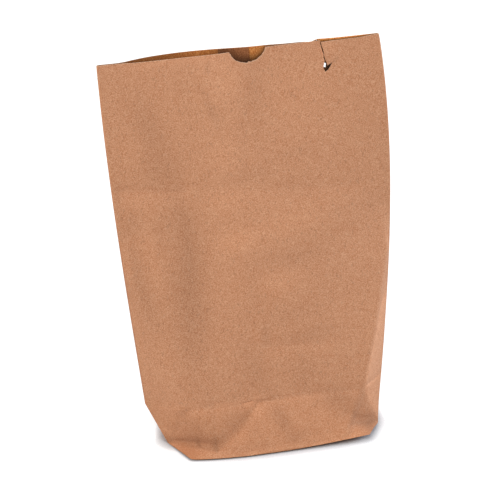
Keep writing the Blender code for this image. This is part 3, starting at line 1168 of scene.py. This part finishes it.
@dataclass(frozen=True)
class MouthCuts:
    """The thumb notch in the front wall and the tear through both walls.

    The corners of the tears are X and Z in millimetres.
    """

    form: BagForm
    notch_radius: float = 0.0125
    notch_depth: float = 0.0092
    notch_shift: float = 0.0058
    notch_steps: int = 90
    notch_rough: float = 0.00016
    nick: float = 0.0005
    nick_turn: float = 1.5 * math.pi + 0.04
    nick_width: float = 0.06
    tear_rough: float = 0.00009
    tear_steps: int = 4
    tear_even_above: float = 0.003
    front_tear: tuple[tuple[float, float], ...] = (
        (43.1, 284.1), (43.7, 281.7), (44.5, 277.9), (45.1, 276.6), (45.3, 274.9),
        (45.2, 273.8), (45.8, 270.8), (45.3, 269.0), (45.0, 267.3), (45.0, 265.4),
        (46.1, 262.9), (47.7, 264.0), (49.2, 266.0), (50.9, 269.3), (48.6, 267.9),
        (47.5, 267.5), (47.2, 268.8), (46.5, 271.0), (45.9, 273.4), (45.4, 274.9),
        (45.4, 276.8), (45.2, 278.3), (44.3, 282.0), (43.7, 284.1), (43.7, 292.0),
        (43.0, 292.0),
    )
    back_tear: tuple[tuple[float, float], ...] = (
        (41.0, 283.6), (42.3, 278.6), (44.0, 272.5), (45.2, 268.6), (45.1, 266.1),
        (46.6, 265.2), (46.9, 268.1), (45.6, 269.0), (44.2, 272.6), (42.5, 278.7),
        (41.25, 283.6), (41.16, 292.0), (41.06, 292.0),
    )

    def prism(self, name: str, outline: np.ndarray, low: float, high: float) -> bpy.types.Object:
        """Sweeps an outline along Y, as a hidden cutter.

        Args:
            name: Name of the cutter.
            outline: X and Z of its corners in metres.
            low: Y at which it starts.
            high: Y at which it ends.

        Returns:
            The closed cutter.
        """
        count = len(outline)
        ends = [np.insert(outline, 1, level, axis=1) for level in (low, high)]
        index = np.arange(count)
        after = (index + 1) % count
        sides = np.column_stack([index, after, after + count, index + count]).tolist()
        faces = [*sides, list(range(count))[::-1], list(range(count, 2 * count))]
        mesh = bpy.data.meshes.new(name)
        mesh.from_pydata(np.concatenate(ends).tolist(), [], faces)
        bm = bmesh.new()
        bm.from_mesh(mesh)
        bmesh.ops.recalc_face_normals(bm, faces=bm.faces[:])
        bm.to_mesh(mesh)
        bm.free()
        return put(mesh)

    @property
    def notch_centre(self) -> tuple[float, float]:
        """X and Z of the middle of the punched circle."""
        form = self.form
        above = form.mouth_z + form.wall + self.notch_radius - self.notch_depth
        return form.mouth_shift + self.notch_shift, above

    def notch(self) -> bpy.types.Object:
        """Makes the notch cutter: a circle with a finely ragged edge and one nick.

        Returns:
            The cutter.
        """
        centre_x, centre_z = self.notch_centre
        turns = np.linspace(0.0, 2 * np.pi, self.notch_steps, endpoint=False)
        rng = np.random.default_rng(NOTCH_SEED)
        radius = self.notch_radius + rng.normal(0.0, self.notch_rough, self.notch_steps)
        from_nick = (turns - self.nick_turn) / self.nick_width
        radius = radius - self.nick * np.exp(-(from_nick**2))
        outline = np.column_stack(
            [centre_x + radius * np.cos(turns), centre_z + radius * np.sin(turns)]
        )
        return self.prism("notch_cutter", outline, -self.form.base_depth, 0.0)

    def tear(
        self, name: str, corners: tuple[tuple[float, float], ...], side: Side
    ) -> bpy.types.Object:
        """Makes a tear cutter for one wall, with its outline broken into ragged steps.

        Args:
            name: Name of the cutter.
            corners: X and Z of its corners in millimetres.
            side: The wall that it cuts.

        Returns:
            The cutter.
        """
        loop = np.array([*corners, corners[0]]) * MM
        count = len(loop) - 1
        share = np.linspace(0.0, count, count * self.tear_steps + 1)[:-1]
        own = np.arange(len(loop))
        ragged = np.column_stack([np.interp(share, own, loop[:, i]) for i in range(2)])
        rng = np.random.default_rng(TEAR_SEED)
        fine = (share % 1.0 > 0) & (ragged[:, 1] < self.form.mouth_z - self.tear_even_above)
        ragged[fine] += rng.normal(0.0, self.tear_rough, (int(fine.sum()), 2))
        depth = self.form.base_depth
        ends = (-depth, 0.0) if side is Side.FRONT else (0.0, depth)
        return self.prism(name, ragged, *ends)


# What a node's input takes: a socket to link, a number, or a colour or place
Input = bpy.types.NodeSocket | float | tuple[float, ...]


def plug(tree: bpy.types.NodeTree, value: Input, socket: bpy.types.NodeSocket) -> None:
    """Links a socket to a node's input, or writes a plain value into it.

    Args:
        tree: The material's node tree.
        value: The socket or the value.
        socket: The input that takes it.
    """
    if isinstance(value, bpy.types.NodeSocket):
        tree.links.new(value, socket)
    else:
        socket.default_value = value


def add_node(
    tree: bpy.types.NodeTree, kind: str, settings: dict | None = None, **links: Input
) -> bpy.types.Node:
    """Adds a node to a material.

    Args:
        tree: The material's node tree.
        kind: The node's type name.
        settings: Attributes of the node, by name.
        **links: Inputs by name with spaces as underscores: a socket to link or a value.

    Returns:
        The node.
    """
    node = tree.nodes.new(kind)
    for name, value in (settings or {}).items():
        setattr(node, name, value)
    for name, value in links.items():
        plug(tree, value, node.inputs[name.replace("_", " ")])
    return node


def add_math(tree: bpy.types.NodeTree, operation: str, *values: Input) -> bpy.types.NodeSocket:
    """Adds a node that works out one number.

    Args:
        tree: The material's node tree.
        operation: What it does with its inputs.
        *values: The inputs in their order, each a socket or a number.

    Returns:
        The socket of the result.
    """
    node = add_node(tree, "ShaderNodeMath", {"operation": operation})
    for value, socket in zip(values, node.inputs):
        plug(tree, value, socket)
    return node.outputs["Value"]


def scaled(
    tree: bpy.types.NodeTree, colour: bpy.types.NodeSocket, level: bpy.types.NodeSocket
) -> bpy.types.NodeSocket:
    """Multiplies a colour by a number.

    Args:
        tree: The material's node tree.
        colour: The colour.
        level: The number.

    Returns:
        The socket of the lighter or darker colour.
    """
    node = add_node(tree, "ShaderNodeVectorMath", {"operation": "SCALE"}, Scale=level)
    tree.links.new(colour, node.inputs[0])
    return node.outputs["Vector"]


def blended(
    tree: bpy.types.NodeTree, share: bpy.types.NodeSocket, first: Input, second: Input
) -> bpy.types.NodeSocket:
    """Mixes two colours.

    Args:
        tree: The material's node tree.
        share: Share of the second colour.
        first: A socket or a linear colour.
        second: A socket or a linear colour.

    Returns:
        The socket of the mixed colour.
    """
    node = add_node(tree, "ShaderNodeMix", {"data_type": "RGBA"}, Factor=share)
    # The node has float and vector inputs of the same names before its colours
    first_input, second_input, result = 6, 7, 2
    plug(tree, first, node.inputs[first_input])
    plug(tree, second, node.inputs[second_input])
    return node.outputs[result]


def seen_directly(tree: bpy.types.NodeTree) -> bpy.types.NodeSocket:
    """Gives 1 to a ray from the camera, or one that was mirrored or let through.

    Args:
        tree: The material's node tree.

    Returns:
        The socket that is 1 for such a ray and 0 for all others.
    """
    path = add_node(tree, "ShaderNodeLightPath").outputs
    mirrored = add_math(tree, "MAXIMUM", path["Is Camera Ray"], path["Is Glossy Ray"])
    return add_math(tree, "MAXIMUM", mirrored, path["Is Transmission Ray"])


@dataclass(frozen=True)
class KraftFinish:
    """Unbleached kraft paper, made on a machine and left uncoated.

    It looks matt, warm brown and finely mottled, because its long fibres lie in a
    cloudy web in which each fibre takes the colour of bark a little differently.
    """

    name: str
    dark: str
    middle: str
    light: str
    # Real fibres are 0.03 mm wide, too fine to show in the render. They are drawn as
    # specks of 0.66 mm, and the dark ones among them as flecks of 1 mm
    fibre_mm: float = 0.66
    # The clouds of the web have their real size
    cloud_mm: float = 5.0
    cloud_share: float = 0.12
    # The stretch of the noise that runs from the dark tone to the light one
    tone_from: float = 0.34
    tone_to: float = 0.66
    fleck_mm: float = 1.0
    fleck_shape: tuple[float, float, float] = (1.0, 1.0, 0.45)
    fleck_turn: float = 0.5
    fleck_from: float = 0.66
    fleck_to: float = 0.74
    fleck_level: float = 0.86
    # Brown of the side folds, which is also painted warm bounce light at the base's front corners
    # and bottom, and pale of loose fibres
    fold_and_bounce_light_tone: str = "#A9683C"
    fibre_tone: str = "#E6C3A4"
    # Rough fibres scatter the light, so the paper has no gloss
    bump_strength: float = 0.25
    bump_mm: float = 0.12
    roughness: float = 0.88
    specular: float = 0.3
    # Painted shade: places that are hemmed in within this distance turn darker
    hidden_mm: float = 12.0
    hidden_power: float = 1.15
    hidden_samples: int = 8
    has_painted_light_and_edge_tones: bool = False
    shaded: bool = False

    def material(self) -> bpy.types.Material:
        """Builds the material from Object coordinates in real millimetres.

        Returns:
            The material.
        """
        material = bpy.data.materials.new(self.name)
        material.use_nodes = True
        tree = material.node_tree
        shader = tree.nodes["Principled BSDF"]
        place = add_node(tree, "ShaderNodeTexCoord").outputs["Object"]
        fibre = add_node(
            tree,
            "ShaderNodeTexNoise",
            Vector=place,
            Scale=1.0 / (self.fibre_mm * MM),
            Detail=2.0,
            Roughness=0.6,
        )
        cloud = add_node(
            tree,
            "ShaderNodeTexNoise",
            Vector=place,
            Scale=1.0 / (self.cloud_mm * MM),
            Detail=3.0,
            Roughness=0.5,
        )
        mixed = add_node(
            tree,
            "ShaderNodeMix",
            {"data_type": "FLOAT"},
            Factor=self.cloud_share,
            A=fibre.outputs["Fac"],
            B=cloud.outputs["Fac"],
        )
        tones = add_node(tree, "ShaderNodeValToRGB", Fac=mixed.outputs["Result"])
        stops = tones.color_ramp.elements
        stops[0].position, stops[0].color = self.tone_from, linear(self.dark)
        stops[1].position, stops[1].color = self.tone_to, linear(self.light)
        stops.new((self.tone_from + self.tone_to) / 2).color = linear(self.middle)
        colour = self.with_flecks(tree, place, tones.outputs["Color"])
        if self.has_painted_light_and_edge_tones:
            colour = self.with_painted_light_and_edge_tones(tree, colour)
        if self.shaded:
            colour = self.with_painted_hollow_shade(tree, colour)
        bump = add_node(
            tree,
            "ShaderNodeBump",
            Strength=self.bump_strength,
            Distance=self.bump_mm * MM,
            Height=fibre.outputs["Fac"],
        )
        plug(tree, colour, shader.inputs["Base Color"])
        plug(tree, bump.outputs["Normal"], shader.inputs["Normal"])
        plug(tree, self.roughness, shader.inputs["Roughness"])
        plug(tree, self.specular, shader.inputs["Specular IOR Level"])
        return material

    def with_flecks(
        self,
        tree: bpy.types.NodeTree,
        place: bpy.types.NodeSocket,
        colour: bpy.types.NodeSocket,
    ) -> bpy.types.NodeSocket:
        """Scatters single fibres that stayed darker, a little longer than wide.

        Args:
            tree: The material's node tree.
            place: The Object coordinates.
            colour: The colour so far.

        Returns:
            The socket of the flecked colour.
        """
        drawn = add_node(
            tree,
            "ShaderNodeMapping",
            {"vector_type": "POINT"},
            Vector=place,
            Rotation=(0.0, self.fleck_turn, 0.0),
            Scale=self.fleck_shape,
        )
        grain = add_node(
            tree,
            "ShaderNodeTexNoise",
            Vector=drawn.outputs["Vector"],
            Scale=1.0 / (self.fleck_mm * MM),
            Detail=0.0,
        )
        level = add_node(
            tree,
            "ShaderNodeMapRange",
            Value=grain.outputs["Fac"],
            From_Min=self.fleck_from,
            From_Max=self.fleck_to,
            To_Min=1.0,
            To_Max=self.fleck_level,
        )
        return scaled(tree, colour, level.outputs["Result"])

    def with_painted_light_and_edge_tones(
        self, tree: bpy.types.NodeTree, colour: bpy.types.NodeSocket
    ) -> bpy.types.NodeSocket:
        """Adds painted light and shade and the tones of folds and cuts, from the piece's own
        attributes.

        The attribute shade paints light and shade by making the paper lighter or darker by its
        value. The attribute fold blends in the brown of the side folds and the painted warm
        bounce light at the base's front corners and bottom, and the attribute fibre blends in the
        pale of a cut.

        Args:
            tree: The material's node tree.
            colour: The colour so far.

        Returns:
            The socket of the marked colour.
        """
        shade = add_node(tree, "ShaderNodeAttribute", {"attribute_name": "shade"})
        level = add_math(tree, "ADD", shade.outputs["Fac"], 1.0)
        result = scaled(tree, colour, level)
        for name, tone in (("fold", self.fold_and_bounce_light_tone), ("fibre", self.fibre_tone)):
            amount = add_node(tree, "ShaderNodeAttribute", {"attribute_name": name})
            result = blended(tree, amount.outputs["Fac"], result, linear(tone))
        return result

    def with_painted_hollow_shade(
        self, tree: bpy.types.NodeTree, colour: bpy.types.NodeSocket
    ) -> bpy.types.NodeSocket:
        """Paints shade into the colour in narrow places, where little light gets in.

        The attribute inner paints light and shade by making the paper lighter or darker by its
        value.

        Args:
            tree: The material's node tree.
            colour: The colour so far.

        Returns:
            The socket of the shaded colour.
        """
        hidden = add_node(
            tree,
            "ShaderNodeAmbientOcclusion",
            {"samples": self.hidden_samples},
            Distance=self.hidden_mm * MM,
        )
        power = add_math(tree, "POWER", hidden.outputs["AO"], self.hidden_power)
        own = add_node(tree, "ShaderNodeAttribute", {"attribute_name": "inner"})
        level = add_math(tree, "MULTIPLY_ADD", own.outputs["Fac"], power, power)
        return scaled(tree, colour, level)


# Outer face, as the paper machine left it: a matt brown that shows no gloss at all, with painted
# light and shade and painted warm bounce light from the piece's attributes
KRAFT = KraftFinish("kraft_paper_machine_made", "#B57650", "#C88E69", "#D9A582", has_painted_light_and_edge_tones=True)
# Inner face: a brighter, deeper orange than the outer face, painted light that stands for light
# let through the paper, with painted shade in narrow places
INSIDE = KraftFinish("kraft_paper_inner_face", "#B8662E", "#D98642", "#F4AE66", shaded=True)
# Cut or torn edge: paler, because it shows the loose ends of the fibres, with painted shade in
# narrow places
CUT_EDGE = KraftFinish("kraft_paper_cut_edge", "#C9A183", "#DAB596", "#E8C8AC", shaded=True)
# Two layers glued together: a dark stripe of painted shade, because little light comes through
# both, with more painted shade in narrow places
LAPPED = KraftFinish("kraft_paper_glued_double", "#7D4727", "#965B35", "#AD7147", shaded=True)


@dataclass
class GluedLap:
    """The second layer of paper inside the back, where the tube is glued shut.

    It runs from one rise to the other, a gap away from the wall, so that the two
    surfaces never coincide.
    """

    form: BagForm
    width: float = 0.0200
    shift: float = -0.0028
    columns: int = 8
    rows: int = 120
    from_rise: float = 0.01
    to_rise: float = 0.9984
    gap: float = 0.00005
    thickness: float = 0.00025

    def mesh(self) -> bpy.types.Mesh:
        """Follows the back wall a little inside it, and gives the strip its thickness.

        Returns:
            The closed strip.
        """
        form = self.form
        rise = np.linspace(self.from_rise, self.to_rise, self.rows + 1)[:, None]
        across = Grid(ramp_steps=8, inner_steps=40).places(form, rise)
        points = form.surface(across, rise, Side.BACK)
        middle = 2.0 * self.shift / form.tube_width
        reach = self.width / form.tube_width
        wanted = np.linspace(middle - reach, middle + reach, self.columns + 1)
        x = np.stack([np.interp(wanted, across[i], points[i, :, 0]) for i in range(len(rise))])
        depth = form.depth(wanted[None, :], rise) - form.wall - self.gap
        height = form.height(wanted[None, :], rise) + form.wall
        outer = np.stack([x, depth, height], axis=-1)
        inner = outer - (0.0, self.thickness, 0.0)
        made = Patches()
        made.add_grid(outer, flip=True)
        made.add_grid(inner)
        for row in (0, -1):
            made.add_grid(np.stack([outer[row], inner[row]]), flip=row == 0)
        for column in (0, -1):
            made.add_grid(np.stack([outer[:, column], inner[:, column]]), flip=column == -1)
        return made.mesh("glued_lap")


@dataclass
class BottomFlap:
    """The outer flap under the base, which ends a little inside the base's own folds."""

    tube: PaperTube
    inset: float = 0.0015
    front_inset: float = 0.0025
    front_limit: float = 0.0385
    reach: float = 0.0120
    edge_points: int = 41
    step: float = 0.004
    thickness: float = 0.00029

    def mesh(self) -> bpy.types.Mesh:
        """Fills the flap's outline, gives it one sheet's thickness and lifts it.

        Returns:
            The closed flap.
        """
        form = self.tube.form
        half = form.base_length / 2 - self.inset
        x = np.linspace(-half, half, self.edge_points)
        front_y = np.maximum(form.base_fold(x) + self.front_inset, -self.front_limit)
        front = np.column_stack([x, front_y])
        back = np.column_stack([x[::-1], np.full_like(x, self.reach)])
        points, faces = filled(np.concatenate([front, back]), self.step)
        up = (0.0, 0.0, self.thickness)
        made = Patches()
        made.add_faces(self.tube.lift(points), [face[::-1] for face in faces])
        made.add_faces(self.tube.lift(points) + up, faces)
        ring = np.concatenate([front, back, front[:1]])
        low = self.tube.lift(np.column_stack([ring, np.zeros(len(ring))]))
        made.add_grid(np.stack([low, low + up]))
        return made.mesh("bottom_flap")


@dataclass
class EdgeTonesAndPaintedLight:
    """Painted light and the tones of folds and cuts, as attributes of its points.

    The side folds turn a darker brown. The two front corners of the base and the folded bottom
    below bottom_z take the same brown as painted warm light, bounced from the table and let
    through the paper, and the notch keeps a pale rim of cut fibres.
    """

    form: BagForm
    cuts: MouthCuts
    side_amount: float = 0.45
    side_reach: float = 0.0007
    side_from: float = 0.012
    bottom_bounce_light_amount: float = 0.13
    bottom_z: float = 0.037
    bottom_over: float = 0.010
    rim_amount: float = 0.35
    rim_reach: float = 0.0004

    def fold(self, x: np.ndarray, z: np.ndarray, front: np.ndarray) -> np.ndarray:
        """Gives how brown each point is: along the side folds, and as painted warm bounce light
        at the base's front corners and along the folded bottom.

        Args:
            x: X of the points.
            z: Z of the points.
            front: 1 for a point of the front and 0 for one of the back.

        Returns:
            A share of the fold's tone for each point.
        """
        form = self.form
        rise = np.clip((z - form.tip_z) / (form.mouth_z - form.tip_z), 0.0, 1.0)
        left, right = form.side_x(rise)
        inward = np.maximum(np.minimum(x - left, right - x), 0.0) / self.side_reach
        above_tip = smooth((z - form.tip_z) / self.side_from)
        sides = self.side_amount * np.exp(-(inward**2)) * above_tip
        # Painted warm bounce light at the front corners of the base and along the folded bottom
        corners = relief_of(CORNER_PAINTED_BOUNCE_LIGHT, x, z) / MM
        bottom = self.bottom_bounce_light_amount * smooth((self.bottom_z - z) / self.bottom_over)
        return sides + (corners + bottom) * front

    def rim(self, x: np.ndarray, z: np.ndarray) -> np.ndarray:
        """Gives how pale each point is from the punch of the notch.

        Args:
            x: X of the points.
            z: Z of the points.

        Returns:
            A share of the pale tone for each point.
        """
        centre_x, centre_z = self.cuts.notch_centre
        off = (np.hypot(x - centre_x, z - centre_z) - self.cuts.notch_radius) / self.rim_reach
        return self.rim_amount * np.exp(-(off**2))

    def store(self, mesh: bpy.types.Mesh) -> None:
        """Stores the attributes shade, inner, fold and fibre.

        Args:
            mesh: The mesh of the cut sheet.
        """
        points = np.empty(len(mesh.vertices) * 3)
        mesh.vertices.foreach_get("co", points)
        x, y, z = points.reshape(-1, 3).T
        front = (y < 0.0).astype(float)
        layers = {
            # shade and inner hold painted light and shade, as shares of the paper's own lightness
            "shade": relief_of(FRONT_PAINTED_LIGHT_AND_SHADE, x, z) / MM * front,
            "inner": relief_of(INNER_PAINTED_LIGHT_AND_SHADE, x, z) / MM * (1.0 - front),
            "fold": self.fold(x, z, front),
            "fibre": self.rim(x, z) * front,
        }
        for name, values in layers.items():
            layer = mesh.attributes.new(name, "FLOAT", "POINT")
            layer.data.foreach_set("value", values.astype(np.float32))


@dataclass
class Bag:
    """The dressed bag: the sheet, the glued lap and the outer flap of the bottom."""

    form: BagForm = field(default_factory=BagForm)

    def finish(self, obj: bpy.types.Object, material: bpy.types.Material) -> None:
        """Gives a piece its material and its body, and reports it.

        Args:
            obj: The piece.
            material: Its material, if it has none yet.
        """
        if not obj.data.materials:
            obj.data.materials.append(material)
        obj.data.shade_smooth()
        obj.data.set_sharp_from_angle(angle=math.radians(SHARP_ANGLE))
        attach(obj, BODY)
        log.info("%s: %d faces", obj.name, len(obj.data.polygons))

    def cut_out(
        self,
        paper: bpy.types.Object,
        cutters: tuple[bpy.types.Object, ...],
        materials: tuple[bpy.types.Material, ...],
    ) -> None:
        """Takes the cutters out of the sheet, and then removes them.

        Args:
            paper: The sheet, with its thickness as a modifier.
            cutters: What is cut away.
            materials: The sheet's materials, of which a cut face takes the last.
        """
        for cutter in cutters:
            for material in materials:
                cutter.data.materials.append(material)
            last = np.full(len(cutter.data.polygons), len(materials) - 1, dtype=np.int32)
            cutter.data.polygons.foreach_set("material_index", last)
            modifier = paper.modifiers.new(cutter.name, "BOOLEAN")
            modifier.operation = "DIFFERENCE"
            modifier.solver = "EXACT"
            modifier.object = cutter
        bpy.context.view_layer.update()
        graph = bpy.context.evaluated_depsgraph_get()
        cut = bpy.data.meshes.new_from_object(paper.evaluated_get(graph))
        paper.modifiers.clear()
        paper.data = cut
        cut.name = paper.name
        for cutter in cutters:
            bpy.data.objects.remove(cutter)

    def build_paper(self, tube: PaperTube, kraft: bpy.types.Material) -> None:
        """Builds the sheet, gives it its thickness and cuts the notch and the tear.

        Args:
            tube: The folded sheet.
            kraft: The material of its outer face.
        """
        paper = put(tube.skin())
        materials = (kraft, INSIDE.material(), CUT_EDGE.material())
        for material in materials:
            paper.data.materials.append(material)
        shell = paper.modifiers.new("paper", "SOLIDIFY")
        shell.thickness = self.form.wall
        shell.offset = -1.0
        shell.material_offset = 1
        shell.material_offset_rim = 2
        cuts = MouthCuts(self.form)
        cutters = (
            cuts.notch(),
            cuts.tear("front_tear", cuts.front_tear, Side.FRONT),
            cuts.tear("back_tear", cuts.back_tear, Side.BACK),
        )
        self.cut_out(paper, cutters, materials)
        EdgeTonesAndPaintedLight(self.form, cuts).store(paper.data)
        self.finish(paper, kraft)
        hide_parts(NODE)

    def build(self) -> None:
        """Builds all pieces."""
        tube = PaperTube(self.form)
        kraft = KRAFT.material()
        self.build_paper(tube, kraft)
        self.finish(put(GluedLap(self.form).mesh()), LAPPED.material())
        self.finish(put(BottomFlap(tube).mesh()), kraft)


@dataclass(frozen=True)
class SoftBox:
    """A square area lamp that faces the middle of the bag."""

    name: str
    place: tuple[float, float, float]
    size: float
    power: float
    colour: str = "#FFFFFF"

    def hang(self, target: Vector) -> None:
        """Adds the lamp to the scene.

        Args:
            target: The point that it faces.
        """
        data = bpy.data.lights.new(self.name, "AREA")
        data.shape = "SQUARE"
        data.size = self.size
        data.energy = self.power
        data.color = linear(self.colour)[:3]
        lamp = bpy.data.objects.new(self.name, data)
        bpy.context.scene.collection.objects.link(lamp)
        place = Vector(self.place)
        lamp.location = place
        lamp.rotation_mode = "QUATERNION"
        lamp.rotation_quaternion = (target - place).to_track_quat("-Z", "Y")


@dataclass(frozen=True)
class WhiteTable:
    """A white table top, which shows white wherever nothing shades it.

    A matt surface is mixed with a glow that only a direct look sees. The glow dies
    away close to the bag, which leaves a thin contact shadow with a rosy tint.
    """

    reach: float = 6.0
    shadow_reach: float = 0.009
    shadow_power: float = 2.6
    shadow_tint: str = "#A67C80"
    shadow_samples: int = 8
    glow: float = 1.4
    glow_share: float = 0.5
    albedo: float = 0.9

    def lay(self) -> None:
        """Adds the table to the scene."""
        r = self.reach
        mesh = bpy.data.meshes.new("table_top")
        corners = [(-r, -r, 0.0), (r, -r, 0.0), (r, r, 0.0), (-r, r, 0.0)]
        mesh.from_pydata(corners, [], [(0, 1, 2, 3)])
        mesh.materials.append(self.material())
        table = put(mesh)

    def material(self) -> bpy.types.Material:
        """Builds the material, a painted board that is lit from above.

        Returns:
            The material.
        """
        material = bpy.data.materials.new("white_table_top")
        material.use_nodes = True
        tree = material.node_tree
        tree.nodes.clear()
        near = add_node(
            tree,
            "ShaderNodeAmbientOcclusion",
            {"samples": self.shadow_samples},
            Distance=self.shadow_reach,
        ).outputs["AO"]
        tint = blended(tree, near, linear(self.shadow_tint), linear("#FFFFFF"))
        open_share = add_math(tree, "POWER", near, self.shadow_power)
        seen = add_math(tree, "MULTIPLY", seen_directly(tree), open_share)
        strength = add_math(tree, "MULTIPLY", seen, self.glow)
        glow = add_node(tree, "ShaderNodeEmission", Color=tint, Strength=strength)
        grey = (self.albedo, self.albedo, self.albedo, 1.0)
        matt = add_node(tree, "ShaderNodeBsdfDiffuse", Color=grey)
        both = add_node(tree, "ShaderNodeMixShader", Fac=self.glow_share)
        plug(tree, matt.outputs["BSDF"], both.inputs[1])
        plug(tree, glow.outputs["Emission"], both.inputs[2])
        add_node(tree, "ShaderNodeOutputMaterial", Surface=both.outputs["Shader"])
        return material


@dataclass(frozen=True)
class Studio:
    """A white table, soft light from all sides, and the camera of the photo.

    The camera looks at the target from a yaw and an elevation in degrees, with a
    roll. The target falls on target_px of the square frame of frame_px.
    """

    frame_px: float = 500.0
    target: tuple[float, float, float] = (0.0, 0.0, 0.1425)
    distance: float = 3.04
    yaw: float = 10.0
    elevation: float = 30.0
    roll: float = 2.41
    target_px: tuple[float, float] = (262.28, 240.21)
    focal_px: float = 4584.3
    sensor: float = 36.0
    clip: tuple[float, float] = (0.1, 20.0)
    world_strength: float = 0.14
    soft_boxes: tuple[SoftBox, ...] = (
        SoftBox("soft_box_above", (-0.1, -1.15, 1.5), 1.0, 22.5),
        SoftBox("soft_box_behind", (0.4, 2.2, 1.3), 1.2, 26.0),
        SoftBox("soft_box_left", (-1.8, -0.3, 0.9), 0.9, 20.0),
        SoftBox("soft_box_right", (1.9, 0.1, 1.0), 0.9, 38.0, "#E0EEFF"),
    )

    def camera(self) -> None:
        """Sets the camera, moved sideways so that the target falls on its pixel."""
        yaw, elevation, roll = (math.radians(a) for a in (self.yaw, self.elevation, self.roll))
        back = Vector(
            (
                -math.sin(yaw) * math.cos(elevation),
                -math.cos(yaw) * math.cos(elevation),
                math.sin(elevation),
            )
        )
        level = Vector((math.cos(yaw), -math.sin(yaw), 0.0))
        up = back.cross(level)
        across = level * math.cos(roll) - up * math.sin(roll)
        upright = level * math.sin(roll) + up * math.cos(roll)
        per_px = self.distance / self.focal_px
        centre = self.frame_px / 2
        place = Vector(self.target) + back * self.distance
        place -= across * (self.target_px[0] - centre) * per_px
        place += upright * (self.target_px[1] - centre) * per_px
        data = bpy.data.cameras.new("camera")
        data.sensor_width = self.sensor
        data.lens = self.sensor * self.focal_px / self.frame_px
        data.clip_start, data.clip_end = self.clip
        camera = bpy.data.objects.new("camera", data)
        bpy.context.scene.collection.objects.link(camera)
        turn = Matrix((across, upright, back)).transposed().to_4x4()
        camera.matrix_world = Matrix.Translation(place) @ turn
        bpy.context.scene.camera = camera

    def world(self) -> None:
        """Fills the surroundings with an even light that looks white."""
        world = bpy.data.worlds.new("white_surroundings")
        bpy.context.scene.world = world
        world.use_nodes = True
        tree = world.node_tree
        tree.nodes.clear()
        strength = add_node(
            tree,
            "ShaderNodeMapRange",
            Value=seen_directly(tree),
            To_Min=self.world_strength,
            To_Max=1.0,
        )
        light = add_node(
            tree,
            "ShaderNodeBackground",
            Color=(1.0, 1.0, 1.0, 1.0),
            Strength=strength.outputs["Result"],
        )
        add_node(tree, "ShaderNodeOutputWorld", Surface=light.outputs["Background"])

    def build(self) -> None:
        """Sets up the camera, the lights, the surroundings and the table."""
        bpy.context.scene.view_settings.view_transform = "Standard"
        self.camera()
        for box in self.soft_boxes:
            box.hang(Vector(self.target))
        self.world()
        WhiteTable().lay()


def main() -> None:
    """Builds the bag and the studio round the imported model."""
    logging.basicConfig(level=logging.INFO, format="%(message)s")
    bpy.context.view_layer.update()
    Bag().build()
    Studio().build()


if __name__ == "__main__":
    main()
